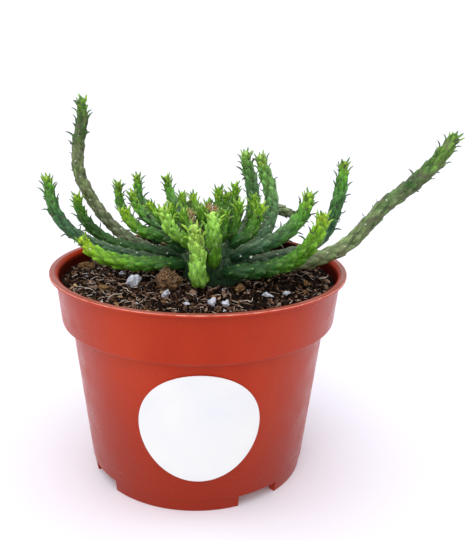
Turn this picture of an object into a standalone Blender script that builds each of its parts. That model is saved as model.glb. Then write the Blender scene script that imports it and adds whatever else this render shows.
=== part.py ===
"""Potted medusa head euphorbia: a succulent with many snaking arms in a plastic nursery pot.

The pot stands on z = 0 with its axis on the PLANT_STAND empty. A low dome, the head, sits in the
potting mix a little to the right of the pot's axis, and every arm grows out of that dome along a
smooth curve. Loose perlite and bark lie on the mix. Tables give millimetres and degrees, and
meshes are built in millimetres and scaled to metres as they are made into objects.
"""
import math
from typing import NamedTuple

import bmesh
import bpy
from mathutils import Matrix, Vector, noise

MM = 0.001
CLEARANCE = 0.3  # gap between neighbouring pieces, mm

# Where the pot's axis stands in the object's frame, mm
POT_AXIS_X = -16.1

# Pot, mm: radii are to the outer face, heights are from the ground
POT_HEIGHT = 75.0
LIP_RADIUS = 52.5
LIP_BAND = 2.2
LIP_DEPTH = 1.5
COLLAR_TOP_RADIUS = 50.4
COLLAR_FOOT_RADIUS = 48.8
LEDGE_HEIGHT = 57.2
BODY_TOP_RADIUS = 45.6
BODY_FOOT_RADIUS = 39.5
WALL = 1.0
EDGE = 0.3  # bevel on the moulding's small edges
LEDGE_ROUND = 1.0  # rounding where the collar turns in to the ledge
FOOT_HEIGHT = 4.2
FOOT_RECESS = 0.4
FOOT_WIDTH = 2.4
FLOOR_THICKNESS = 1.2
FLOOR_ROUND = 1.0  # fillet where the wall meets the floor
POT_SEGMENTS = 56
NOTCH_COUNT = 4
NOTCH_FIRST_AZIMUTH = 35.4
NOTCH_ANGLE = 23.0
NOTCH_STEP = 0.05  # the notches end this much below the floor's underside
DRAIN_RADIUS = 2.4
DRAIN_RING_RADIUS = 30.0
CUTTER_OVERLAP = 3.0  # how far a cutter runs past what it cuts

# Blank round label on the front of the pot's body, mm
LABEL_DIAMETER = 40.0
LABEL_THICKNESS = 0.3
LABEL_HEIGHT = 33.0
LABEL_AZIMUTH = -86.2
LABEL_RINGS = 5
LABEL_SEGMENTS = 32

# Potting mix, mm
SOIL_LEVEL = 70.4
SOIL_TILT = -0.010  # rise per millimetre along +X
SOIL_RELIEF = 0.7
SOIL_GRAIN = 9.0  # size of the bumps on the surface
SOIL_EDGE_RADIUS = 48.4
SOIL_SEGMENTS = 40
SOIL_RINGS = (8.0, 16.0, 24.0, 31.0, 38.0, 44.0, SOIL_EDGE_RADIUS)

# Head of the plant, mm, measured from its own axis
HEAD_X = 6.0
HEAD_RADIUS = 12.5
HEAD_WAIST = 76.0
DOME_HEIGHT = 11.5
DOME_STEPS = 7
HEAD_SEGMENTS = 28
# Radius and height down the caudex and its tap root, below the waist
ROOT_PROFILE = ((12.3, 73.0), (11.6, 70.0), (10.0, 65.0), (7.6, 58.0), (5.0, 50.0), (2.6, 42.0), (1.2, 36.0))

# Arms
ARM_SIDES = 8
ARM_STATION = 4.0  # distance between rings along an arm, mm
ARM_START = 2.4  # how far an arm runs straight out of the head, mm
CURVE_STEPS = 12  # points worked out between two places on an arm's route
FEWEST_STATIONS = 5
ROOT_GIRTH = 0.72  # girth at the root and near the tip, as shares of the full girth
TIP_GIRTH = 0.58
SWELL_LENGTH = 9.0
TIP_LENGTH = 13.0
TIP_ROUND = 0.6  # the last ring lies this many radii before the tip
TIP_SHOULDER = 0.8  # and has this share of the radius


class Arm(NamedTuple):
    """One arm: where it leaves the head, its full girth and the way it takes to its tip."""

    azimuth: float  # degrees round the head at the root, 0 to the right and 90 to the back
    elevation: float  # degrees up the dome at the root
    girth: float  # diameter of the full-grown length, mm
    route: tuple  # (azimuth in degrees, reach from the head's axis in mm, height in mm)


ARMS = {
    "arm_left_tall": Arm(152, 2, 4.5, (
        (152, 26, 76.5), (154, 35, 79), (159, 42, 84.5), (164, 46, 91.5), (169, 49, 100), (172, 50.5, 107.5),
        (174, 49.5, 116), (175, 47.5, 125), (176, 47, 132.5))),
    "arm_left_far": Arm(184, -3, 4.4, (
        (184, 22, 76.8), (184, 34, 79.3), (184, 44, 82.8), (184, 52, 88), (184, 56.5, 95),
        (184, 58.5, 106.5))),
    "arm_left_dark": Arm(168, 8, 4.2, (
        (168, 24, 78.5), (169, 36, 79.8), (170, 43.5, 83), (172, 48.5, 88.5), (173, 50.5, 93.5),
        (174, 51, 98.5))),
    "arm_left_low": Arm(205, 4, 5.3, (
        (203, 21, 77.4), (200, 29, 77.8), (198, 36, 78.9), (196, 42.5, 81.6), (195, 46, 85),
        (195, 47, 87.5))),
    "arm_left_lime": Arm(188, 24, 4.2, (
        (187, 18, 85.5), (186, 27, 88), (185, 31, 91.5), (185, 33, 96))),
    "arm_left_middle": Arm(148, 30, 4.2, (
        (148, 20, 85.2), (148, 29, 86.8), (149, 34, 90), (151, 36.5, 94), (152, 37.5, 98))),
    "arm_left_upper": Arm(168, 33, 4.0, (
        (168, 16, 86.5), (168, 21, 91), (168, 26, 96.5))),
    "arm_left_inner": Arm(176, 50, 3.8, (
        (178, 11.5, 88), (178, 15, 92), (177, 16.8, 97.3))),
    "arm_left_crook": Arm(212, 38, 4.7, (
        (212, 14, 86.8), (212, 18, 89.8), (212, 19.8, 94), (212, 20.8, 98.3))),
    "arm_left_stub": Arm(210, 55, 3.4, (
        (202, 11, 90.5), (194, 12.7, 95.3))),
    "arm_back_left_outer": Arm(126, 0, 4.0, (
        (130, 27, 76.8), (136, 42, 79.8), (139, 51, 86.5), (140, 53, 92), (141, 52.5, 99))),
    "arm_back_left_tall": Arm(130, 26, 4.1, (
        (133, 24, 83.5), (137, 36, 87), (139, 41.5, 93), (140, 42, 103))),
    "arm_back_left_inner": Arm(112, 30, 4.2, (
        (116, 20, 85.5), (121, 29, 89.5), (124, 34.5, 95), (126, 36, 102.5))),
    "arm_back_short_left": Arm(138, 52, 3.7, (
        (134, 15, 89.5), (129, 21, 93), (128, 23, 98))),
    "arm_back_short_right": Arm(100, 52, 3.7, (
        (104, 17, 88.5), (108, 28, 90), (110, 32.5, 95.5))),
    "arm_crown_left": Arm(176, 76, 3.5, (
        (192, 5, 92), (200, 6, 97.5))),
    "arm_crown_front": Arm(288, 60, 3.8, (
        (289, 7.4, 91), (290, 7.8, 97))),
    "arm_crown_middle": Arm(320, 60, 4.0, (
        (326, 7.6, 90.5), (331, 8.4, 94.5), (331, 8.6, 99.5))),
    "arm_crown_back": Arm(100, 72, 3.6, (
        (92, 6, 93), (88, 8, 102))),
    "arm_crown_back_low": Arm(70, 43, 3.6, (
        (78, 14.5, 90), (82, 18.2, 93.5), (82, 18.5, 98))),
    "arm_crown_tall": Arm(44, 62, 3.8, (
        (52, 9, 92), (55, 10.5, 98), (55, 10.8, 103.4))),
    "arm_crown_right": Arm(2, 48, 4.0, (
        (1, 11.8, 89.5), (0, 12.8, 95), (0, 13, 101))),
    "arm_right_inner": Arm(312, 44, 4.6, (
        (323, 13.8, 88.6), (330, 15.6, 93), (334, 17.2, 99.3))),
    "arm_front_rising": Arm(253, -8, 5.8, (
        (254, 16.8, 74.2), (254.5, 19.8, 75.5), (254.5, 21, 78.5), (254.5, 20.6, 83), (254.5, 21.8, 88),
        (254.5, 25.5, 95))),
    "arm_front_middle": Arm(268, 18, 5.3, (
        (268, 15.8, 82.4), (267.5, 16.4, 86), (267.5, 16.4, 92), (267, 15, 97.8))),
    "arm_right_upper": Arm(304, 25, 5.3, (
        (312, 16.8, 84.4), (324, 19.8, 85.8), (334, 24.8, 89), (340, 30, 95), (340, 32.5, 101),
        (340, 33, 104.4))),
    "arm_right_low": Arm(289, 3, 5.6, (
        (297, 18.2, 77.6), (307, 20.2, 77.9), (317, 23.2, 78.6), (323, 28, 80.4), (325, 33, 83.4),
        (325, 38, 89), (325, 41.2, 94.8), (325, 42, 100))),
    "arm_right_upright": Arm(20, -2, 5.0, (
        (20, 24, 76.5), (20, 36, 79), (20, 43, 84.5), (20, 46.5, 93), (20, 48.5, 102), (20, 49, 111.5))),
    "arm_right_long": Arm(356, -5, 5.4, (
        (356, 22, 75.6), (356, 34, 78.3), (356, 45, 83.8), (356, 52.5, 92), (356, 58, 99), (356, 66.5, 106.5),
        (356, 75, 116), (356, 79.5, 124))),
    "arm_back_right_sagging": Arm(64, 2, 4.2, (
        (68, 24, 78), (62, 35, 87.5), (57, 40, 89.4), (51, 43.5, 88), (47, 46, 86.5))),
    "arm_back_right_tall": Arm(42, 16, 5.3, (
        (42, 18.5, 82.2), (42, 25, 86), (42, 27, 93), (42, 25.5, 100.5), (42, 22, 108), (42, 20, 113.5))),
    "arm_back_tall": Arm(66, 24, 5.2, (
        (64, 19, 82.5), (62, 26, 87.5), (62, 28, 94), (62, 25.5, 102.5), (62, 21, 110.5), (62, 20.5, 114))),
    "arm_back_low_left": Arm(103, -2, 4.5, (
        (104, 26, 76.5), (106, 38, 80), (107, 44, 85), (107, 46, 90))),
    "arm_back_low": Arm(84, 6, 4.6, (
        (85, 26, 78), (86, 38, 80.5), (86, 45.5, 86), (86, 47, 93))),
    "arm_back_upper": Arm(92, 26, 4.2, (
        (90, 18, 84), (87, 26, 87), (85, 31, 91), (84, 32.5, 96))),
}

# Loose pieces on the mix: (x, y) from the pot's axis in mm, size along x, y and z in mm, turn in degrees
PERLITE = {
    "perlite_large": ((-21.5, -14.0), (4.8, 3.8, 4.2), 20),
    "perlite_left": ((-27.5, -3.5), (2.4, 2.2, 1.8), -10),
    "perlite_small": ((-13.9, -11.0), (2.0, 1.8, 1.6), 35),
    "perlite_front_left": ((-9.6, -25.5), (2.8, 2.6, 2.4), 10),
    "perlite_front": ((-2.1, -33.0), (2.2, 2.0, 1.6), -25),
    "perlite_front_middle": ((5.8, -30.2), (3.9, 3.0, 2.4), 15),
    "perlite_front_right": ((10.5, -32.0), (2.9, 2.4, 2.2), 40),
    "perlite_flake": ((23.8, -21.5), (4.4, 2.4, 1.6), -25),
    "perlite_right": ((30.2, -19.7), (2.3, 2.1, 2.0), -15),
}
LUMP_RELIEF = 0.22  # depth of the lumps' own bumps, as a share of their size
LUMP_GRAIN = 3.2  # how often the bumps repeat across a lump
BARK = {
    "bark_chunk_left": ((-41.5, 5.0), (7.6, 4.4, 2.8), 8),
    "bark_clump": ((-9.4, -16.4), (7.6, 6.4, 6.0), 30),
    "bark_sliver_right": ((14.5, -18.0), (4.8, 3.2, 3.4), 65),
    "bark_chip_front": ((-31.0, -19.0), (5.2, 3.2, 1.6), -35),
}


def make_material(name, color, roughness):
    """Return a Principled BSDF material with one colour and roughness."""
    material = bpy.data.materials.new(name)
    material.use_nodes = True
    shader = material.node_tree.nodes["Principled BSDF"]
    shader.inputs["Base Color"].default_value = (*color, 1.0)
    shader.inputs["Roughness"].default_value = roughness
    shader.inputs["Metallic"].default_value = 0.0
    return material


def add_object(name, mesh_builder, material, parent, smooth_angle=35.0):
    """Scale a bmesh from millimetres to metres and link it as one named object."""
    bmesh.ops.scale(mesh_builder, vec=(MM, MM, MM), verts=mesh_builder.verts)
    bmesh.ops.recalc_face_normals(mesh_builder, faces=mesh_builder.faces)
    mesh = bpy.data.meshes.new(name)
    mesh_builder.to_mesh(mesh)
    mesh_builder.free()
    mesh.shade_smooth()
    mesh.set_sharp_from_angle(angle=math.radians(smooth_angle))
    mesh.materials.append(material)
    piece = bpy.data.objects.new(name, mesh)
    bpy.context.scene.collection.objects.link(piece)
    piece.parent = parent
    return piece


def turned(profile, segments, center_x=0.0):
    """Return a bmesh of a closed (radius, height) outline turned about an upright axis.

    A point of radius zero becomes one vertex on the axis.
    """
    solid = bmesh.new()
    rings = []
    for radius, height in profile:
        if radius == 0.0:
            rings.append([solid.verts.new((center_x, 0.0, height))])
            continue
        ring = []
        for index in range(segments):
            angle = math.tau * index / segments
            ring.append(solid.verts.new((
                center_x + radius * math.cos(angle), radius * math.sin(angle), height)))
        rings.append(ring)
    pairs = list(zip(rings, rings[1:]))
    if profile[0][0] > 0.0:
        pairs.append((rings[-1], rings[0]))
    for first, second in pairs:
        bridge(solid, first, second)
    return solid


def bridge(solid, first, second):
    """Join two rings, or a ring and a single vertex, with faces."""
    count = max(len(first), len(second))
    for index in range(count):
        following = (index + 1) % count
        if len(first) == 1:
            solid.faces.new((first[0], second[index], second[following]))
        elif len(second) == 1:
            solid.faces.new((first[index], first[following], second[0]))
        else:
            solid.faces.new((first[index], first[following], second[following], second[index]))


def body_radius(height):
    """Return the outer radius of the pot's tapered body at a height."""
    share = height / LEDGE_HEIGHT
    return BODY_FOOT_RADIUS + (BODY_TOP_RADIUS - BODY_FOOT_RADIUS) * share


def inner_profile():
    """Return the (radius, height) outline inside the pot, from the lip down to the floor."""
    floor_top = FOOT_HEIGHT + FLOOR_THICKNESS
    collar_foot = COLLAR_FOOT_RADIUS - WALL
    ledge_top = LEDGE_HEIGHT + WALL
    return (
        (LIP_RADIUS - LIP_BAND, POT_HEIGHT - EDGE),
        (COLLAR_TOP_RADIUS - WALL, POT_HEIGHT - LIP_DEPTH),
        (collar_foot, ledge_top + LEDGE_ROUND / 2),
        (collar_foot - LEDGE_ROUND / 2, ledge_top),
        (body_radius(ledge_top) - WALL, ledge_top),
        (body_radius(floor_top + FLOOR_ROUND) - WALL, floor_top + FLOOR_ROUND),
        (body_radius(floor_top) - WALL - FLOOR_ROUND, floor_top),
    )


def pot_profile():
    """Return the closed (radius, height) outline of the pot's wall, foot ring and floor."""
    foot_radius = BODY_FOOT_RADIUS - FOOT_RECESS
    foot_inside = foot_radius - FOOT_WIDTH
    lip_under = POT_HEIGHT - LIP_DEPTH
    floor_top = FOOT_HEIGHT + FLOOR_THICKNESS
    outside = (
        (foot_radius - EDGE, 0.0),
        (foot_radius, EDGE),
        (body_radius(FOOT_HEIGHT) - FOOT_RECESS, FOOT_HEIGHT),
        (body_radius(FOOT_HEIGHT), FOOT_HEIGHT + EDGE),
        (body_radius(LEDGE_HEIGHT - EDGE), LEDGE_HEIGHT - EDGE),
        (BODY_TOP_RADIUS + EDGE, LEDGE_HEIGHT),
        (COLLAR_FOOT_RADIUS - LEDGE_ROUND, LEDGE_HEIGHT),
        (COLLAR_FOOT_RADIUS - LEDGE_ROUND * 0.3, LEDGE_HEIGHT + LEDGE_ROUND * 0.3),
        (COLLAR_FOOT_RADIUS, LEDGE_HEIGHT + LEDGE_ROUND),
        (COLLAR_TOP_RADIUS, lip_under),
        (LIP_RADIUS - EDGE, lip_under),
        (LIP_RADIUS, lip_under + EDGE),
        (LIP_RADIUS, POT_HEIGHT - EDGE),
        (LIP_RADIUS - EDGE, POT_HEIGHT),
        (LIP_RADIUS - LIP_BAND + EDGE, POT_HEIGHT),
    )
    underside = (
        (0.0, floor_top),
        (0.0, FOOT_HEIGHT),
        (foot_inside, FOOT_HEIGHT),
        (foot_inside, EDGE),
        (foot_inside + EDGE, 0.0),
    )
    return outside + inner_profile() + underside


def turned_closed(profile, segments):
    """Return a bmesh of an outline that runs down the axis, turned into one closed solid."""
    start = next(index for index, point in enumerate(profile) if point[0] == 0.0)
    lower = profile[start + 1:] + profile[:start + 1]
    return turned(lower, segments)


def add_cutter(name, solid, parent):
    """Link a bmesh in millimetres as a hidden wire object for Boolean cuts."""
    cutter = add_object(name, solid, CUTTER_MATERIAL, parent)
    cutter.hide_render = True
    cutter.display_type = "WIRE"
    return cutter


def cut(piece, cutter):
    """Subtract a cutter from a piece with an exact Boolean modifier."""
    modifier = piece.modifiers.new(cutter.name, "BOOLEAN")
    modifier.operation = "DIFFERENCE"
    modifier.solver = "EXACT"
    modifier.object = cutter


def notch_solid(azimuth):
    """Return a bmesh wedge that opens one notch in the foot ring."""
    solid = bmesh.new()
    half = math.radians(NOTCH_ANGLE / 2)
    middle = math.radians(azimuth)
    inner = BODY_FOOT_RADIUS - FOOT_WIDTH - CUTTER_OVERLAP
    outer = BODY_FOOT_RADIUS + CUTTER_OVERLAP
    corners = []
    for height in (-CUTTER_OVERLAP, FOOT_HEIGHT - NOTCH_STEP):
        for radius, angle in ((inner, middle - half), (outer, middle - half),
                              (outer, middle + half), (inner, middle + half)):
            corners.append(solid.verts.new((radius * math.cos(angle), radius * math.sin(angle), height)))
    for indices in ((0, 3, 2, 1), (4, 5, 6, 7), (0, 1, 5, 4), (1, 2, 6, 5), (2, 3, 7, 6), (3, 0, 4, 7)):
        solid.faces.new([corners[index] for index in indices])
    return solid


def build_pot(parent):
    """Build the pot with its notched foot ring and drain holes."""
    material = make_material("terracotta_plastic", (0.48, 0.055, 0.028), 0.38)
    pot = add_object("nursery_pot", turned_closed(pot_profile(), POT_SEGMENTS), material, parent)
    for index in range(NOTCH_COUNT):
        azimuth = NOTCH_FIRST_AZIMUTH + index * 360.0 / NOTCH_COUNT
        cut(pot, add_cutter(f"notch_cutter_{index + 1}", notch_solid(azimuth), parent))
    drains = bmesh.new()
    places = [(0.0, 0.0)]
    for index in range(NOTCH_COUNT):
        angle = math.radians(NOTCH_FIRST_AZIMUTH + index * 360.0 / NOTCH_COUNT)
        places.append((DRAIN_RING_RADIUS * math.cos(angle), DRAIN_RING_RADIUS * math.sin(angle)))
    for place in places:
        bmesh.ops.create_cone(
            drains, cap_ends=True, segments=16, radius1=DRAIN_RADIUS, radius2=DRAIN_RADIUS,
            depth=2 * CUTTER_OVERLAP, matrix=Matrix.Translation((*place, FOOT_HEIGHT)))
    cut(pot, add_cutter("drain_cutter", drains, parent))
    return pot


def build_label(parent):
    """Build the blank round label, wrapped on the cone of the pot's body."""
    solid = bmesh.new()
    slope = (BODY_TOP_RADIUS - BODY_FOOT_RADIUS) / LEDGE_HEIGHT
    skins = []
    for offset in (CLEARANCE, CLEARANCE + LABEL_THICKNESS):
        rings = []
        for ring_index in range(LABEL_RINGS + 1):
            reach = LABEL_DIAMETER / 2 * ring_index / LABEL_RINGS
            count = LABEL_SEGMENTS if ring_index else 1
            ring = []
            for index in range(count):
                angle = math.tau * index / LABEL_SEGMENTS
                height = LABEL_HEIGHT + reach * math.sin(angle)
                radius = body_radius(height) + offset
                turn = math.radians(LABEL_AZIMUTH) + reach * math.cos(angle) / body_radius(LABEL_HEIGHT)
                ring.append(solid.verts.new((
                    radius * math.cos(turn), radius * math.sin(turn), height - slope * offset)))
            rings.append(ring)
        for first, second in zip(rings, rings[1:]):
            bridge(solid, first, second)
        skins.append(rings[-1])
    bridge(solid, skins[0], skins[1])
    material = make_material("label_vinyl", (0.83, 0.84, 0.86), 0.45)
    return add_object("label", solid, material, parent)


def soil_height(x, y):
    """Return the height of the uneven potting mix at a place, in mm."""
    ripple = noise.noise(Vector((x / SOIL_GRAIN, y / SOIL_GRAIN, 3.0)))
    return SOIL_LEVEL + SOIL_TILT * x + SOIL_RELIEF * ripple


def head_profile(growth=0.0):
    """Return the (radius, height) outline of the head and tap root, grown outward by a distance."""
    points = [(0.0, HEAD_WAIST + DOME_HEIGHT + growth)]
    for step in range(1, DOME_STEPS + 1):
        angle = math.radians(90.0 * (1 - step / DOME_STEPS))
        points.append((
            (HEAD_RADIUS + growth) * math.cos(angle),
            HEAD_WAIST + (DOME_HEIGHT + growth) * math.sin(angle)))
    points += [(radius + growth, height) for radius, height in ROOT_PROFILE]
    points.append((0.0, ROOT_PROFILE[-1][1] - 1.0 - growth))
    return points


def soil_ring(solid, radius, height=None):
    """Add one ring of the mix, at a height or on its uneven surface."""
    ring = []
    for index in range(SOIL_SEGMENTS):
        angle = math.tau * index / SOIL_SEGMENTS
        x = radius * math.cos(angle)
        y = radius * math.sin(angle)
        ring.append(solid.verts.new((x, y, soil_height(x, y) if height is None else height)))
    return ring


def build_soil(parent):
    """Build the potting mix that fills the pot, with a socket for the tap root."""
    solid = bmesh.new()
    below_surface = [point for point in inner_profile() if point[1] < SOIL_LEVEL]
    floor_height = below_surface[-1][1] + CLEARANCE
    facet = math.cos(math.pi / POT_SEGMENTS)  # the pot's flats lie this much inside its corners
    rings = [[solid.verts.new((0.0, 0.0, soil_height(0.0, 0.0)))]]
    rings += [soil_ring(solid, radius) for radius in SOIL_RINGS]
    rings += [
        soil_ring(solid, radius * facet - CLEARANCE, max(height, floor_height))
        for radius, height in below_surface]
    rings.append([solid.verts.new((0.0, 0.0, floor_height))])
    for first, second in zip(rings, rings[1:]):
        bridge(solid, first, second)
    soil = add_object("potting_mix", solid, make_material("potting_mix", (0.035, 0.022, 0.014), 0.95), parent)
    socket = turned(head_profile(CLEARANCE), HEAD_SEGMENTS, HEAD_X)
    cut(soil, add_cutter("root_socket_cutter", socket, parent))
    return soil


def build_head(parent):
    """Build the head of the plant with the tap root that anchors it in the mix."""
    material = make_material("caudex_skin", (0.045, 0.10, 0.05), 0.6)
    return add_object("head", turned(head_profile(), HEAD_SEGMENTS, HEAD_X), material, parent)


def polar(azimuth, reach, height):
    """Return the point at an azimuth in degrees, a reach from the head's axis and a height."""
    angle = math.radians(azimuth)
    return Vector((HEAD_X + reach * math.cos(angle), reach * math.sin(angle), height))


def arm_points(arm):
    """Return the points that an arm's curve passes through, from its root to its tip."""
    elevation = math.radians(arm.elevation)
    azimuth = math.radians(arm.azimuth)
    radius = HEAD_RADIUS * math.cos(elevation)
    root = polar(arm.azimuth, radius, HEAD_WAIST + DOME_HEIGHT * math.sin(elevation))
    outward = Vector((
        math.cos(elevation) / HEAD_RADIUS * math.cos(azimuth),
        math.cos(elevation) / HEAD_RADIUS * math.sin(azimuth),
        math.sin(elevation) / DOME_HEIGHT)).normalized()
    start = root + outward * CLEARANCE
    return [start, start + outward * ARM_START] + [polar(*place) for place in arm.route]


def smooth_curve(points, steps=CURVE_STEPS):
    """Return closely spaced points on a centripetal Catmull-Rom curve through the given points."""
    before = points[0] * 2 - points[1]
    after = points[-1] * 2 - points[-2]
    padded = [before] + points + [after]
    curve = []
    for p0, p1, p2, p3 in zip(padded, padded[1:], padded[2:], padded[3:]):
        t1 = (p1 - p0).length ** 0.5
        t2 = t1 + (p2 - p1).length ** 0.5
        t3 = t2 + (p3 - p2).length ** 0.5
        for step in range(steps):
            t = t1 + (t2 - t1) * step / steps
            a1 = p0 * ((t1 - t) / t1) + p1 * (t / t1)
            a2 = p1 * ((t2 - t) / (t2 - t1)) + p2 * ((t - t1) / (t2 - t1))
            a3 = p2 * ((t3 - t) / (t3 - t2)) + p3 * ((t - t2) / (t3 - t2))
            b1 = a1 * ((t2 - t) / t2) + a2 * (t / t2)
            b2 = a2 * ((t3 - t) / (t3 - t1)) + a3 * ((t - t1) / (t3 - t1))
            curve.append(b1 * ((t2 - t) / (t2 - t1)) + b2 * ((t - t1) / (t2 - t1)))
    curve.append(points[-1].copy())
    return curve


def stations(curve, spacing):
    """Return evenly spaced (point, tangent, distance) along a curve, and its whole length."""
    distances = [0.0]
    for first, second in zip(curve, curve[1:]):
        distances.append(distances[-1] + (second - first).length)
    length = distances[-1]
    count = max(FEWEST_STATIONS, round(length / spacing))
    places = []
    segment = 0
    for index in range(count + 1):
        distance = length * index / count
        while segment < len(curve) - 2 and distances[segment + 1] < distance:
            segment += 1
        span = distances[segment + 1] - distances[segment]
        point = curve[segment].lerp(curve[segment + 1], (distance - distances[segment]) / span)
        tangent = (curve[segment + 1] - curve[segment]).normalized()
        places.append((point, tangent, distance))
    return places, length


def arm_radius(arm, distance, length):
    """Return an arm's radius: it swells from the root, then narrows towards the tip."""
    swell = min(1.0, distance / SWELL_LENGTH)
    fade = min(1.0, (length - distance) / TIP_LENGTH)
    girth = ROOT_GIRTH + (1 - ROOT_GIRTH) * math.sin(swell * math.pi / 2)
    girth *= TIP_GIRTH + (1 - TIP_GIRTH) * math.sin(fade * math.pi / 2)
    return arm.girth / 2 * girth


def build_arm(name, arm, material, parent):
    """Build one arm as a closed tube with a flat root and a rounded tip."""
    places, length = stations(smooth_curve(arm_points(arm)), ARM_STATION)
    solid = bmesh.new()
    side = places[0][1].orthogonal().normalized()
    rings = []
    for point, tangent, distance in places[:-1]:
        side = (side - tangent * side.dot(tangent)).normalized()
        across = tangent.cross(side)
        radius = arm_radius(arm, distance, length)
        rings.append(ring_of(solid, point, side, across, radius))
    tip, tangent, _ = places[-1]
    radius = arm_radius(arm, length, length)
    rings.append(ring_of(solid, tip - tangent * radius * TIP_ROUND, side, across, radius * TIP_SHOULDER))
    rings.append([solid.verts.new(tip)])
    for first, second in zip(rings, rings[1:]):
        bridge(solid, first, second)
    solid.faces.new(rings[0])
    return add_object(name, solid, material, parent, smooth_angle=60.0)


def ring_of(solid, center, side, across, radius):
    """Add one ring of an arm's vertices round a centre."""
    ring = []
    for index in range(ARM_SIDES):
        angle = math.tau * index / ARM_SIDES
        ring.append(solid.verts.new(center + (side * math.cos(angle) + across * math.sin(angle)) * radius))
    return ring


def build_lump(name, place, size, turn, material, parent):
    """Build one rounded lump and set it down on the potting mix."""
    solid = bmesh.new()
    bmesh.ops.create_icosphere(solid, subdivisions=2, radius=0.5)
    seed = Vector((place[0], place[1], size[0]))
    rotation = Matrix.Rotation(math.radians(turn), 3, "Z")
    for vertex in solid.verts:
        bump = 1.0 + LUMP_RELIEF * noise.noise(vertex.co * LUMP_GRAIN + seed)
        local = Vector((vertex.co.x * size[0], vertex.co.y * size[1], vertex.co.z * size[2])) * bump
        vertex.co = rotation @ local + Vector((place[0], place[1], 0.0))
    lift = max(soil_height(vertex.co.x, vertex.co.y) - vertex.co.z for vertex in solid.verts)
    bmesh.ops.translate(solid, vec=(0.0, 0.0, lift + CLEARANCE), verts=solid.verts)
    return add_object(name, solid, material, parent, smooth_angle=40.0)


def arm_color(arm):
    """Return an arm's base colour: low arms are blue-green and short crown arms are lime."""
    age = max(0.0, min(1.0, 1.0 - arm.elevation / 60.0))
    young = Vector((0.17, 0.36, 0.03))
    old = Vector((0.05, 0.15, 0.06))
    return tuple(young.lerp(old, age))


for leftover in list(bpy.data.objects):
    bpy.data.objects.remove(leftover, do_unlink=True)

CUTTER_MATERIAL = make_material("cutter", (0.5, 0.5, 0.5), 0.5)

stand = bpy.data.objects.new("PLANT_STAND", None)
stand.location = (POT_AXIS_X * MM, 0.0, 0.0)
bpy.context.scene.collection.objects.link(stand)

build_pot(stand)
build_label(stand)
build_soil(stand)
build_head(stand)
for arm_name, arm_spec in ARMS.items():
    arm_material = make_material(f"{arm_name}_skin", arm_color(arm_spec), 0.5)
    build_arm(arm_name, arm_spec, arm_material, stand)
for lump_name, (lump_place, lump_size, lump_turn) in PERLITE.items():
    perlite = make_material(f"{lump_name}_white", (0.8, 0.8, 0.78), 0.9)
    build_lump(lump_name, lump_place, lump_size, lump_turn, perlite, stand)
for lump_name, (lump_place, lump_size, lump_turn) in BARK.items():
    bark = make_material(f"{lump_name}_brown", (0.16, 0.085, 0.035), 0.9)
    build_lump(lump_name, lump_place, lump_size, lump_turn, bark, stand)
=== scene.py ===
"""Dressed model of a potted medusa head euphorbia, a succulent with many snaking arms.

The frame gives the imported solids. Each class below builds one sub-assembly of the plant in its pot
and replaces the plain solids with finished pieces: tubercled arms with their leaves, the head with
its dried flowers, the crumbly potting mix with perlite and bark, the moulded pot and its blank label.
Tables give millimetres and degrees, and meshes are made in metres about the world's origin.
"""

import logging
import math
import random
from dataclasses import dataclass, field
from enum import Enum
from functools import partial
from typing import Any, Callable, Iterable, Sequence

import bmesh
import bpy
import numpy as np
from bpy.types import Collection, Material, Mesh, NodeTree, Object
from mathutils import Matrix, Vector, noise


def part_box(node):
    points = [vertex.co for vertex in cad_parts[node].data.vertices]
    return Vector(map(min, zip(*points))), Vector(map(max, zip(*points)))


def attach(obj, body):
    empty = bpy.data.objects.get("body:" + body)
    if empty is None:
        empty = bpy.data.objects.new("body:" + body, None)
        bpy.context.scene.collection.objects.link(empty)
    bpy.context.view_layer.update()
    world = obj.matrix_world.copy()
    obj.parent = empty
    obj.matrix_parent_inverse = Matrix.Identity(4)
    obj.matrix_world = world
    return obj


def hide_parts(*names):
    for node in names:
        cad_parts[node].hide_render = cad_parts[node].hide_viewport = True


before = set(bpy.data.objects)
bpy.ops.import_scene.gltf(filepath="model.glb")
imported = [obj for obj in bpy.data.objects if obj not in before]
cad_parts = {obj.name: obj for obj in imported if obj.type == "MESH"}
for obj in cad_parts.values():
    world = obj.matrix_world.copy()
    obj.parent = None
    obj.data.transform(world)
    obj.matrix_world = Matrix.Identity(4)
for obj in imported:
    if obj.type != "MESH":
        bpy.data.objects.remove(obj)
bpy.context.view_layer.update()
noise.seed_set(2)  # without a seed, noise_vector differs from one run to the next

LOG = logging.getLogger("euphorbia")
MM = 0.001
BODY = "root"

Point = tuple[float, float, float]
Ring = list[int]


def axis_of(node: str) -> float:
    """Return where the middle of a solid stands along X, in mm."""
    low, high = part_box(node)
    return (low.x + high.x) / 2 / MM


POT_AXIS_X = axis_of("nursery_pot")
HEAD_AXIS_X = axis_of("head")


# ---------------------------------------------------------------- nodes and meshes


def linear(code: str) -> tuple[float, float, float, float]:
    """Turn an sRGB hex colour into the linear RGBA that a shader works in.

    Args:
        code: The colour as "#rrggbb".

    Returns:
        Linear red, green, blue and an alpha of one.
    """
    shares = [int(code[start:start + 2], 16) / 255 for start in (1, 3, 5)]
    red, green, blue = (s / 12.92 if s <= 0.04045 else ((s + 0.055) / 1.055) ** 2.4 for s in shares)
    return red, green, blue, 1.0


def per_mm(size: float) -> float:
    """Return the texture scale that gives a pattern a size in mm."""
    return 1 / (size * MM)


@dataclass(frozen=True)
class NodeKind:
    """A kind of node: its type, the inputs that are mostly given, in order, its output and settings."""

    type_name: str
    inputs: tuple[int | str, ...] = (0, 1, 2, 3, 4, 5)
    output: int | str = 0
    settings: tuple[tuple[str, Any], ...] = ()


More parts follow.
